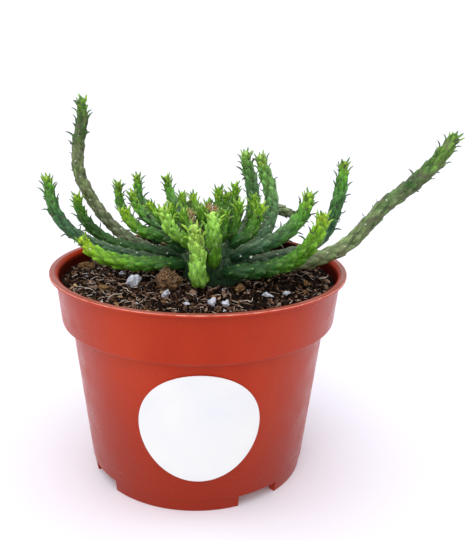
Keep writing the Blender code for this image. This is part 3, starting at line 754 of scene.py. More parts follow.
ARMS = (
    Arm("arm_left_tall", 152, 2, 4.5, Age.OLD, 14, 19, (
        (152, 26, 76.5), (154, 35, 79), (159, 42, 84.5), (164, 46, 91.5), (169, 49, 100),
        (172, 50.5, 107.5), (174, 49.5, 116), (175, 47.5, 125), (176, 47, 132.5))),
    Arm("arm_left_far", 184, -3, 4.4, Age.MATURE, 5, 24, (
        (184, 22, 76.8), (184, 34, 79.3), (184, 44, 82.8), (184, 52, 88), (184, 56.5, 95),
        (184, 58.5, 106.5))),
    Arm("arm_left_dark", 168, 8, 4.2, Age.YOUNG, 2.6, 22, (
        (168, 24, 78.5), (169, 36, 79.8), (170, 43.5, 83), (172, 48.5, 88.5), (173, 50.5, 93.5),
        (174, 51, 98.5))),
    Arm("arm_left_low", 205, 4, 5.3, Age.YOUNG, 14, 5, (
        (203, 21, 77.4), (200, 29, 77.8), (198, 36, 78.9), (196, 42.5, 81.6), (195, 46, 85),
        (195, 47, 87.5))),
    Arm("arm_left_lime", 188, 24, 4.2, Age.YOUNG, 7, 10, (
        (187, 18, 85.5), (186, 27, 88), (185, 31, 91.5), (185, 33, 96))),
    Arm("arm_left_middle", 148, 30, 4.2, Age.MATURE, 10, 16, (
        (148, 20, 85.2), (148, 29, 86.8), (149, 34, 90), (151, 36.5, 94), (152, 37.5, 98))),
    Arm("arm_left_upper", 168, 33, 4.0, Age.YOUNG, 7, 12, (
        (168, 16, 86.5), (168, 21, 91), (168, 26, 96.5))),
    Arm("arm_left_inner", 176, 50, 3.8, Age.YOUNG, 9, 10, (
        (178, 11.5, 88), (178, 15, 92), (177, 16.8, 97.3))),
    Arm("arm_left_crook", 212, 38, 5.1, Age.PALE, 11, 15, (
        (212, 14, 86.8), (212, 18, 89.8), (212, 19.8, 94), (212, 20.8, 98.3))),
    Arm("arm_left_stub", 210, 55, 3.8, Age.YOUNG, 10, 8, ((202, 11, 90.5), (194, 12.7, 95.3))),
    Arm("arm_back_left_outer", 126, 0, 4.0, Age.MATURE, 9, 14, (
        (130, 27, 76.8), (136, 42, 79.8), (139, 51, 86.5), (140, 53, 92), (141, 52.5, 99))),
    Arm("arm_back_left_tall", 130, 26, 4.1, Age.MATURE, 8, 16, (
        (133, 24, 83.5), (137, 36, 87), (139, 41.5, 93), (140, 42, 103))),
    Arm("arm_back_left_inner", 112, 30, 4.2, Age.MATURE, 8, 16, (
        (116, 20, 85.5), (121, 29, 89.5), (124, 34.5, 95), (126, 36, 102.5))),
    Arm("arm_back_short_left", 138, 52, 3.7, Age.YOUNG, 6, 11, (
        (134, 15, 89.5), (129, 21, 93), (128, 23, 98))),
    Arm("arm_back_short_right", 100, 52, 3.7, Age.YOUNG, 6, 11, (
        (104, 17, 88.5), (108, 28, 90), (110, 32.5, 95.5))),
    Arm("arm_crown_left", 176, 76, 4.3, Age.YOUNG, 12, 8, ((192, 5, 92), (198, 6, 96.8))),
    Arm("arm_crown_front", 288, 60, 4.4, Age.YOUNG, 14, 9, ((289, 7.4, 91), (290, 7.8, 97))),
    Arm("arm_crown_middle", 320, 60, 4.2, Age.YOUNG, 12, 10, (
        (326, 7.6, 90.5), (331, 8.4, 94.5), (331, 8.6, 99.5))),
    Arm("arm_crown_back", 100, 72, 3.6, Age.YOUNG, 7, 11, ((92, 6, 93), (88, 8, 102))),
    Arm("arm_crown_back_low", 70, 43, 3.6, Age.YOUNG, 6, 10, (
        (78, 14.5, 90), (82, 18.2, 93.5), (82, 18.5, 98))),
    Arm("arm_crown_tall", 44, 62, 3.8, Age.YOUNG, 6, 11, ((52, 9, 92), (55, 10.5, 98), (55, 10.8, 103.4))),
    Arm("arm_crown_right", 2, 48, 4.2, Age.YOUNG, 10, 10, ((1, 11.8, 89.5), (0, 12.8, 95), (0, 13, 101))),
    Arm("arm_right_inner", 312, 44, 4.6, Age.YOUNG, 6, 9, (
        (323, 13.8, 88.6), (330, 15.6, 93), (334, 17.2, 99.3))),
    Arm("arm_front_rising", 253, -8, 5.8, Age.PALE, 19, 16, (
        (254, 16.8, 74.2), (254.5, 19.8, 75.5), (254.5, 21, 78.5), (254.5, 20.6, 83), (254.5, 21.8, 88),
        (254.5, 25.5, 95))),
    Arm("arm_front_middle", 268, 18, 6.0, Age.PALE, 4.3, 15, (
        (268, 15.8, 82.4), (267.5, 16.4, 86), (267.5, 16.4, 92), (267, 15, 97.8))),
    Arm("arm_right_upper", 304, 25, 5.3, Age.MATURE, 9, 22, (
        (312, 16.8, 84.4), (324, 19.8, 85.8), (334, 24.8, 89), (340, 30, 95), (340, 32.5, 101),
        (340, 33, 104.4))),
    Arm("arm_right_low", 289, 3, 5.6, Age.YOUNG, 9, 12, (
        (297, 18.2, 77.6), (307, 20.2, 77.9), (317, 23.2, 78.6), (323, 28, 80.4), (325, 33, 83.4),
        (325, 38, 89), (325, 41.2, 94.8), (325, 42, 100))),
    Arm("arm_right_upright", 20, -2, 5.0, Age.MATURE, 8, 26, (
        (20, 24, 76.5), (20, 36, 79), (20, 43, 84.5), (20, 46.5, 93), (20, 48.5, 102), (20, 49, 111.5))),
    Arm("arm_right_long", 356, -5, 5.4, Age.OLD, 30, 26, (
        (356, 22, 75.6), (356, 34, 78.3), (356, 45, 83.8), (356, 52.5, 92), (356, 58, 99),
        (356, 66.5, 106.5), (356, 75, 116), (356, 79.5, 124))),
    Arm("arm_back_right_sagging", 64, 2, 5.0, Age.OLD, 3, 3, (
        (68, 24, 78), (62, 35, 87.5), (57, 40, 89.4), (51, 43.5, 88), (47, 46, 86.5))),
    Arm("arm_back_right_tall", 42, 16, 5.3, Age.GREY, 9, 24, (
        (42, 18.5, 82.2), (42, 25, 86), (42, 27, 93), (42, 25.5, 100.5), (42, 22, 108), (42, 20, 113.5))),
    Arm("arm_back_tall", 66, 24, 5.2, Age.GREY, 5, 20, (
        (64, 19, 82.5), (62, 26, 87.5), (62, 28, 94), (62, 25.5, 102.5), (62, 21, 110.5),
        (62, 20.5, 114))),
    Arm("arm_back_low_left", 103, -2, 4.5, Age.MATURE, 7, 14, (
        (104, 26, 76.5), (106, 38, 80), (107, 44, 85), (107, 46, 90))),
    Arm("arm_back_low", 84, 6, 4.6, Age.MATURE, 7, 14, (
        (85, 26, 78), (86, 38, 80.5), (86, 45.5, 86), (86, 47, 93))),
    Arm("arm_back_upper", 92, 26, 4.2, Age.MATURE, 7, 14, (
        (90, 18, 84), (87, 26, 87), (85, 31, 91), (84, 32.5, 96))),
)

# short growths too young to have solids of their own, which fill the heart of the crown
BUDS = (
    Arm("bud_heart_left", 160, 68, 3.8, Age.YOUNG, 12, 6, ((160, 6.6, 90.5), (160, 7.0, 94.2))),
    Arm("bud_heart_back", 122, 70, 3.8, Age.YOUNG, 10, 7, ((120, 6.8, 91), (118, 7.6, 97))),
    Arm("bud_heart_middle", 40, 84, 3.6, Age.YOUNG, 10, 5, ((30, 1.8, 90.5), (10, 2.2, 94.0))),
)


@dataclass
class Head:
    """The low dome that all the arms grow from, with the tap root that anchors it in the mix."""

    radius: float = 12.5
    waist: float = 76.0
    dome: float = 11.5
    segments: int = 72
    dome_steps: int = 16
    studs: int = 64  # tubercles over the dome, on a golden spiral
    stud_size: float = 4.2
    root_profile: tuple[tuple[float, float], ...] = (
        (12.3, 73.0), (11.6, 70.0), (10.0, 65.0), (7.6, 58.0), (5.0, 50.0), (2.6, 42.0), (1.2, 36.0))
    relief: float = 0.35

    def outward(self, azimuth: float, elevation: float) -> tuple[Vector, Vector]:
        """Find a place on the dome and the way straight out of it.

        Args:
            azimuth: Degrees round the head's axis.
            elevation: Degrees up from the waist.

        Returns:
            The place, in mm, and the direction there.
        """
        turn, rise = math.radians(azimuth), math.radians(elevation)
        across = Vector((math.cos(turn), math.sin(turn), 0.0))
        place = across * self.radius * math.cos(rise)
        place += Vector((HEAD_AXIS_X, 0.0, self.waist + self.dome * math.sin(rise)))
        direction = across * (math.cos(rise) / self.radius)
        direction.z = math.sin(rise) / self.dome
        return place, direction.normalized()

    def profile(self) -> list[tuple[float, float]]:
        """Outline the head from the top of the dome to the end of the root.

        Returns:
            The (radius, height) points, in mm.
        """
        points = [(0.0, self.waist + self.dome)]
        for step in range(1, self.dome_steps + 1):
            rise = math.radians(90.0 * (1 - step / self.dome_steps))
            points.append((self.radius * math.cos(rise), self.waist + self.dome * math.sin(rise)))
        return [*points, *self.root_profile, (0.0, self.root_profile[-1][1] - 1.0)]

    def surface(self) -> tuple[list[Point], list[tuple[int, ...]]]:
        """Turn the outline round the axis and make it a little uneven.

        Returns:
            Its points, in mm, and the vertex numbers of its faces.
        """
        points: list[Point] = []
        rings: list[Ring] = []
        for radius, height in self.profile():
            count = self.segments if radius else 1
            rings.append(list(range(len(points), len(points) + count)))
            for index in range(count):
                turn = math.tau * index / count
                spot = Vector((math.cos(turn) * 3, math.sin(turn) * 3, height * 0.5))
                swell = self.relief * noise.noise(spot) if radius else 0.0
                points.append(polar(HEAD_AXIS_X, radius + swell, turn, height))
        return points, skin_faces(rings, inside_out=True)


@dataclass
class ArmShape:
    """Sizes that every arm's shape follows, in mm, and the mesh that its Geometry Nodes tree grows."""

    ring_step: float = 0.25
    start: float = 2.4  # how far an arm leaves the head before it bends
    clearance: float = 0.3
    curve_steps: int = 24
    root_girth: float = 0.72  # share of the full girth where the arm leaves the head
    tip_girth: float = 0.58
    swell_length: float = 9.0
    tip_length: float = 13.0
    pitch: float = 0.74  # rise from one tubercle to the next up the spiral, on an arm of usual girth
    tip_pitch: float = 0.42  # share of that rise at the very tip
    crowded_length: float = 9.0
    usual_girth: float = 4.6
    young_relief: float = 1.0
    old_relief: float = 0.55
    young_gain: float = 1.25  # how much deeper the grooves of a young arm stay
    relief_fade: float = 18.0
    closing_length: float = 2.4
    opening_length: float = 5.0

    def curve(self, arm: Arm, head: Head) -> np.ndarray:
        """Draw the smooth curve from the head through an arm's route.

        Args:
            arm: The arm.
            head: The head that it leaves.

        Returns:
            Closely spaced points along it, in mm.
        """
        root, outward = head.outward(arm.azimuth, arm.elevation)
        first = root + outward * self.clearance
        knots = [first, first + outward * self.start]
        for azimuth, reach, height in arm.route:
            knots.append(Vector(polar(HEAD_AXIS_X, reach, math.radians(azimuth), height)))
        padded = [knots[0] * 2 - knots[1], *knots, knots[-1] * 2 - knots[-2]]
        points = []
        for p0, p1, p2, p3 in zip(padded, padded[1:], padded[2:], padded[3:]):
            t1 = (p1 - p0).length ** 0.5
            t2 = t1 + (p2 - p1).length ** 0.5
            t3 = t2 + (p3 - p2).length ** 0.5
            for step in range(self.curve_steps):
                t = t1 + (t2 - t1) * step / self.curve_steps
                a1 = p0.lerp(p1, t / t1)
                a2 = p1.lerp(p2, (t - t1) / (t2 - t1))
                a3 = p2.lerp(p3, (t - t2) / (t3 - t2))
                b1 = a1.lerp(a2, t / t2)
                b2 = a2.lerp(a3, (t - t1) / (t3 - t1))
                points.append(b1.lerp(b2, (t - t1) / (t2 - t1)))
        return np.array([*points, knots[-1]])

    def profiles(self, arm: Arm, along: np.ndarray, length: float) -> tuple[np.ndarray, ...]:
        """Work out how an arm's girth, the row of its tubercles and their relief change along it.

        Args:
            arm: The arm.
            along: Distances along it, mm.
            length: Its whole length, mm.

        Returns:
            For each distance, the radius in mm, the number of tubercles passed up the spiral, and how far
            they stand out in mm.
        """
        left = length - along

        # It swells out of the head, narrows again and is rounded off at the tip
        swell = np.sin(np.clip(along / self.swell_length, 0, 1) * math.pi / 2)
        fade = np.sin(np.clip(left / self.tip_length, 0, 1) * math.pi / 2)
        radius = arm.girth / 2 * (self.root_girth + (1 - self.root_girth) * swell)
        radius *= self.tip_girth + (1 - self.tip_girth) * fade
        cap = np.clip(left / (arm.girth / 2 * self.tip_girth), 0, 1)
        radius *= np.sqrt(np.clip(1 - (1 - cap) ** 2, 0.0004, 1))

        # The tubercles crowd together at the tip
        crowding = np.clip(left / self.crowded_length, 0, 1)
        crowding = crowding * crowding * (3 - 2 * crowding)
        pitch = self.pitch * (arm.girth / self.usual_girth) ** 0.6
        pitch = pitch * (self.tip_pitch + (1 - self.tip_pitch) * crowding)
        rows = np.concatenate([[0.0], np.cumsum(np.diff(along) * 2 / (pitch[1:] + pitch[:-1]))])

        # They stand out most near the tip and least on old skin
        old = self.old_relief * (self.young_gain if arm.age in (Age.PALE, Age.YOUNG) else 1.0)
        relief = self.young_relief + (old - self.young_relief) * np.clip(left / self.relief_fade, 0, 1)
        closing = np.clip(left / self.closing_length, 0.1, 1)
        opening = np.clip(along / self.opening_length, 0.2, 1)
        return radius, rows, relief * closing * opening * (arm.girth / self.usual_girth) ** 0.5


@dataclass
class Dressing:
    """What sits on an arm's tubercles, drawn from one seeded source so that every run is alike."""

    scar_shares: tuple[float, ...] = (0.04, 0.08, 0.22, 0.25, 0.5)  # in the order of ages
    withered_share: float = 0.2

    def choose(self, arm: Arm, below: float, draw: random.Random) -> tuple[int, float, float, float] | None:
        """Choose what a tubercle carries.

        Args:
            arm: The arm.
            below: How far the tubercle is below the tip, in mm.
            draw: The source of chance.

        Returns:
            Kind, size factor, lean from the stem in degrees and age from 0 to 1, or nothing.
        """
        if below < 0.5:
            return None
        young = arm.age in (Age.PALE, Age.YOUNG)
        if below < 2.4:
            return BUD, draw.uniform(0.7, 1.05), draw.uniform(8, 34), draw.uniform(0.0, 0.35)
        if below < arm.leafy * 0.45:
            if draw.random() > 0.92:
                return None
            fresh = draw.uniform(0.0, 0.26) if young else draw.uniform(0.25, 0.75)
            fresh *= 0.4 if arm.age is Age.PALE else 1.0
            return LEAF, draw.uniform(0.7, 1.1), draw.uniform(24, 50), fresh
        if below < arm.leafy:
            if draw.random() > 0.6:
                return None
            kind = LEAF if draw.random() < 0.6 else WITHERED
            return kind, draw.uniform(0.65, 1.15), draw.uniform(40, 78), draw.uniform(0.55, 1.0)
        if below < arm.leafy * 1.6 and draw.random() < self.withered_share:
            return WITHERED, draw.uniform(0.5, 0.9), draw.uniform(60, 95), draw.uniform(0.8, 1.0)
        if draw.random() < self.scar_shares[list(Age).index(arm.age)]:
            size = 1.7 if draw.random() < 0.06 else draw.uniform(0.45, 0.95)
            return SCAR, size, 90.0, draw.random()
        return None


@dataclass
class LeafForms:
    """The few shapes that are repeated over all the arms: bud, leaf, withered leaf and leaf scar."""

    stations: int = 6
    sides: int = 6

    def blade(self, name: str, length: float, width: float, depth: float, lean: float,
              hook: float) -> Mesh:
        """Make one tapering blade.

        Args:
            name: Its name.
            length: Its length, mm.
            width: Its greatest width, mm.
            depth: Its greatest thickness, mm.
            lean: How far its middle bows outwards, mm.
            hook: How far its tip ends outwards, mm.

        Returns:
            The blade, with its share of the way to the tip stored as "leaf_along".
        """
        points: list[Point] = []
        along: list[float] = []
        for station in range(self.stations):
            share = station / self.stations
            taper = math.sin(math.pi * (0.22 + 0.78 * share) ** 0.8) ** 0.75
            middle = 4 * lean * share * (1 - share) + hook * share ** 2
            for side in range(self.sides):
                turn = math.tau * side / self.sides
                points.append((middle + depth / 2 * taper * math.cos(turn),
                               width / 2 * taper * math.sin(turn), length * share))
                along.append(share)
        rings = [*rings_of(len(points), self.sides), [len(points)]]
        points.append((hook, 0.0, length))
        along.append(1.0)
        faces = [rings[0][::-1], *skin_faces(rings)]
        mesh = mesh_from(name, points, faces)
        set_attribute(mesh, "leaf_along", along)
        return mesh

    def build(self) -> Collection:
        """Build the four shapes.

        Returns:
            The collection that holds them, out of the scene.
        """
        return collect("leaf_forms", (
            self.blade("form_1_bud", 2.3, 1.0, 0.65, 0.1, 0.3),
            self.blade("form_2_leaf", 2.7, 1.0, 0.6, -0.16, 0.6),
            self.blade("form_3_withered", 2.3, 0.7, 0.46, 0.2, -0.7),
            self.blade("form_4_scar", 0.24, 0.72, 0.6, 0.0, 0.0)))


@dataclass
class Arms:
    """All the arms: each is one piece with its tubercles, leaves and scars grown by Geometry Nodes."""

    head: Head
    shape: ArmShape = field(default_factory=ArmShape)
    dressing: Dressing = field(default_factory=Dressing)
    sides: int = 36
    seed: int = 7
    lean: float = 0.55  # how far each tubercle leans to the tip, as a share of its height
    crest: float = 0.85  # share of that lean at the place where a leaf sits
    sunk: float = 0.25  # how far a leaf's foot lies in the skin, mm
    scar_sunk: float = 0.05
    seat_height: float = 0.93  # height of the place where a leaf sits, as a share of the tubercle's
    fullness: float = 1.11  # below one the tubercles are plump, above one they are pointed
    unevenness: float = 0.4
    oldest: float = 3.5  # greatest growth value away from the head
    root_shade_value: float = 5.6  # growth value of the painted shade where an arm leaves the head among the others
    root_shade: float = 24.0  # length of that painted shade, mm

    def tree(self) -> NodeTree:
        """Build the tree that sweeps an arm, raises its tubercles and sets out its leaves.

        Returns:
            The tree.
        """
        tree, given = geometry_tree("tubercled_arm", {
            "Sides": "Int", "Turn Offset": "Float", "Handedness": "Float", "Forward Lean": "Float",
            "Fullness": "Float", "Unevenness": "Float", "Forms": "Collection", "Skin": "Material",
            "Leaf Skin": "Material", "Scar Skin": "Material"})
        add = partial(add_node, tree)
        names = ("radius_here", "turn", "row", "relief", "ridge", "place_along", "place_turn", "place_reach",
                 "place_lean", "place_size", "place_kind", "is_place")
        read = {name: add(READ, name) for name in names}
        parts = add("GeometryNodeSeparateGeometry", given["Geometry"], read["is_place"], domain="POINT")
        parts = parts.node
        path = add("GeometryNodeMeshToCurve", parts.outputs["Inverted"])

        # Sweep a circle along the path; its own place round the circle is stored as "turn"
        here = add("GeometryNodeInputPosition")
        rail = add(STORE_VECTOR, path, "middle", here)
        rail = add(STORE_VECTOR, rail, "heading", add("GeometryNodeInputTangent"))
        circle = add("GeometryNodeCurvePrimitiveCircle", {"Resolution": given["Sides"], "Radius": 1.0})
        circle = add(STORE, circle, "turn", add("GeometryNodeSplineParameter", output="Factor"))
        tube = add("GeometryNodeCurveToMesh", {
            "Curve": rail, "Profile Curve": circle, "Scale": read["radius_here"], "Fill Caps": True})

        # Height of the tubercle lozenges: both spiral families as the fractions of one vector
        turn, row, depth = read["turn"], read["row"], read["relief"]
        turned = add(MULTIPLY_ADD, turn, given["Handedness"], given["Turn Offset"])
        across = add(SCALE, (SHALLOW, -STEEP, 0.0), turned)
        rising = add(SCALE, (2 - SHALLOW * DIVERGENCE, STEEP * DIVERGENCE - 1, 0.0), row)
        wander = add(NOISE, here, per_mm(5.0), 1.0, output="Color")
        offset = APEX - WANDER / 2
        wander = add(STRETCH_ADD, wander, (WANDER, WANDER, 0.0), (offset, offset, 0.0))
        inside = add(FRACTION, add(SUM, add(SUM, across, rising), wander))
        low = add(SEPARATE, inside).node.outputs
        high = add(SEPARATE, add(GAP, (1.0, 1.0, 1.0), inside)).node.outputs
        rise = add(MULTIPLY, add(SMOOTH_LEAST, low[0], low[1], 0.14), 1 / APEX)
        drop = add(MULTIPLY, add(SMOOTH_LEAST, high[0], high[1], 0.1), 1 / (1 - APEX))
        ridge = add("ShaderNodeClamp", add(SMOOTH_LEAST, rise, drop, 0.2), 0.0, 1.0)
        tube = add(STORE, tube, "ridge", add(POWER, ridge, given["Fullness"]))

        # Store where each place would be on a straight arm, for streaks that run lengthwise
        angle = add(MULTIPLY, turn, math.tau)
        straight = add(COMBINE, add(COSINE, angle), add(SINE, angle), row)
        unrolled = Vector((self.shape.usual_girth / 2, self.shape.usual_girth / 2, self.shape.pitch)) * MM
        tube = add(STORE_VECTOR, tube, "straight", add(STRETCH, straight, unrolled))

        # Push the skin out by that height, lean the tubercles forward, and leave the arm a little uneven
        stored = read["ridge"]
        spoke = add(UNIT, add(GAP, here, add(READ_VECTOR, "middle")))
        lumps = add(SUBTRACT, add(NOISE, here, per_mm(2.6), 2.0), 0.5)
        lumps = add(MULTIPLY_ADD, lumps, given["Unevenness"], -SEAT)
        out = add(SCALE, spoke, add(MULTIPLY, add(ADD, stored, lumps), depth))
        lean = stored
        for factor in (stored, depth, given["Forward Lean"]):
            lean = add(MULTIPLY, lean, factor)
        forward = add(SCALE, add(READ_VECTOR, "heading"), lean)
        tube = add("GeometryNodeSetPosition", {"Geometry": tube, "Offset": add(SUM, out, forward)})

        # Set each leaf, bud and scar on its tubercle
        points = add("GeometryNodeMeshToPoints", {"Mesh": parts.outputs["Selection"]})
        sample = add("GeometryNodeSampleCurve", {"Curves": path, "Length": read["place_along"]},
                     mode="LENGTH").node
        side = sample.outputs["Normal"]
        other = add(CROSS, sample.outputs["Tangent"], side)
        angle = add(MULTIPLY, read["place_turn"], math.tau)
        facing = add(SUM, add(SCALE, side, add(COSINE, angle)), add(SCALE, other, add(SINE, angle)))
        foot = add(SUM, sample.outputs["Position"], add(SCALE, facing, read["place_reach"]))
        points = add("GeometryNodeSetPosition", {"Geometry": points, "Position": foot})
        spread = add(SCALE, facing, add(SINE, read["place_lean"]))
        rise = add(SCALE, sample.outputs["Tangent"], add(COSINE, read["place_lean"]))
        rotation = add("FunctionNodeAxesToRotation", add(SUM, spread, rise), facing, primary_axis="Z",
                       secondary_axis="X")
        forms = add("GeometryNodeCollectionInfo", {
            "Collection": given["Forms"], "Separate Children": True, "Reset Children": True})
        index = add(SUBTRACT, read["place_kind"], 1.0)
        growths = add("GeometryNodeInstanceOnPoints", {
            "Points": points, "Instance": forms, "Pick Instance": True, "Instance Index": index,
            "Rotation": rotation, "Scale": read["place_size"]})

        # Join everything and give each part its material
        whole = add("GeometryNodeRealizeInstances", add("GeometryNodeJoinGeometry", [growths, tube]))
        whole = add("GeometryNodeSetShadeSmooth", {"Geometry": whole})
        for label, least in (("Skin", -1.0), ("Leaf Skin", 0.5), ("Scar Skin", SCAR - 0.5)):
            chosen = add("FunctionNodeCompare", read["place_kind"], least, data_type="FLOAT",
                         operation="GREATER_THAN")
            whole = add("GeometryNodeSetMaterial", {
                "Geometry": whole, "Selection": chosen, "Material": given[label]})
        add("NodeGroupOutput", whole)
        return tree

    def carrier(self, arm: Arm, offset: float, hand: float, draw: random.Random) -> Mesh:
        """Make the mesh that the tree starts from: the arm's path, and a loose point for each growth.

        Args:
            arm: The arm.
            offset: Where its spirals start, as a share of a turn.
            hand: One or minus one, the way the spirals wind.
            draw: The source of chance.

        Returns:
            The mesh, with its attributes in metres.
        """
        curve = self.shape.curve(arm, self.head)
        lengths = np.concatenate([[0.0], np.cumsum(np.linalg.norm(np.diff(curve, axis=0), axis=1))])
        length = lengths[-1]
        along = np.linspace(0.0, length, max(12, round(length / self.shape.ring_step)) + 1)
        path = np.stack([np.interp(along, lengths, curve[:, axis]) for axis in range(3)], axis=1)
        radius, rows, relief = self.shape.profiles(arm, along, length)
        growths = []
        for row in range(1, int(rows[-1])):
            distance = float(np.interp(row, rows, along))
            chosen = self.dressing.choose(arm, length - distance, draw)
            if chosen is None:
                continue
            kind, size, lean, age = chosen
            depth = float(np.interp(distance, along, relief))
            seated = float(np.interp(distance, along, radius)) + (self.seat_height - SEAT) * depth
            turn = (row * DIVERGENCE - offset) * hand
            sunk = self.scar_sunk if kind == SCAR else self.sunk
            growths.append(((distance + self.lean * self.crest * depth) * MM, turn % 1.0,
                            (seated - sunk) * MM, math.radians(lean), size, kind, age))
        count = len(path)
        points = [tuple(place) for place in path] + [(0.0, 0.0, 0.0)] * len(growths)
        mesh = bpy.data.meshes.new(f"{arm.name}_path")
        edges = [(index, index + 1) for index in range(count - 1)]
        mesh.from_pydata([(x * MM, y * MM, z * MM) for x, y, z in points], edges, [])
        aged = np.clip((length - along) / arm.fresh, 0, self.oldest)
        # Painted shade: the skin darkens towards the head, where the arms crowd
        aged += (self.root_shade_value - self.oldest) * np.clip(1 - along / self.root_shade, 0, 1) ** 1.5
        columns = zip(*growths) if growths else [()] * 7
        for name, column in zip(("along", "turn", "reach", "lean", "size", "kind", "age"), columns):
            set_attribute(mesh, f"place_{name}", [0.0] * count + list(column))
        set_attribute(mesh, "is_place", [0.0] * count + [1.0] * len(growths))
        for name, values in (
                ("radius_here", radius * MM), ("relief", relief * MM), ("row", rows), ("growth", aged)):
            set_attribute(mesh, name, list(values) + [0.0] * len(growths))
        return mesh

    def build(self, forms: Collection) -> None:
        """Build every arm and hand it to the frame in place of its solid; buds have none.

        Args:
            forms: The leaf forms that sit on the tubercles.
        """
        tree = self.tree()
        skins = {age: skin.build() for age, skin in STEM_SKINS.items()}
        leaf_skin = LeafSkin("succulent_leaf").build()
        scar_skin = Granular("dried_latex_scar", ((0.0, "#8d8a72"), (0.45, "#e9e6d6"), (1.0, "#ffffff")), 0.7,
                             by_piece=False).build()
        draw = random.Random(self.seed)
        for arm in ARMS + BUDS:
            offset, hand = draw.random(), draw.choice((-1.0, 1.0))
            piece = grow(f"{arm.name}_grown", self.carrier(arm, offset, hand, draw), tree, {
                "Sides": self.sides, "Turn Offset": offset, "Handedness": hand, "Forward Lean": self.lean,
                "Fullness": self.fullness, "Unevenness": self.unevenness * (2 if arm.age is Age.OLD else 1),
                "Forms": forms, "Skin": skins[arm.age], "Leaf Skin": leaf_skin, "Scar Skin": scar_skin,
            }, ("growth", "ridge", "straight", "leaf_along", "place_age"))
            dress(piece, SKIN_SLOTS[arm.age], *([arm.name] if arm in ARMS else []))


# ---------------------------------------------------------------- crown and head


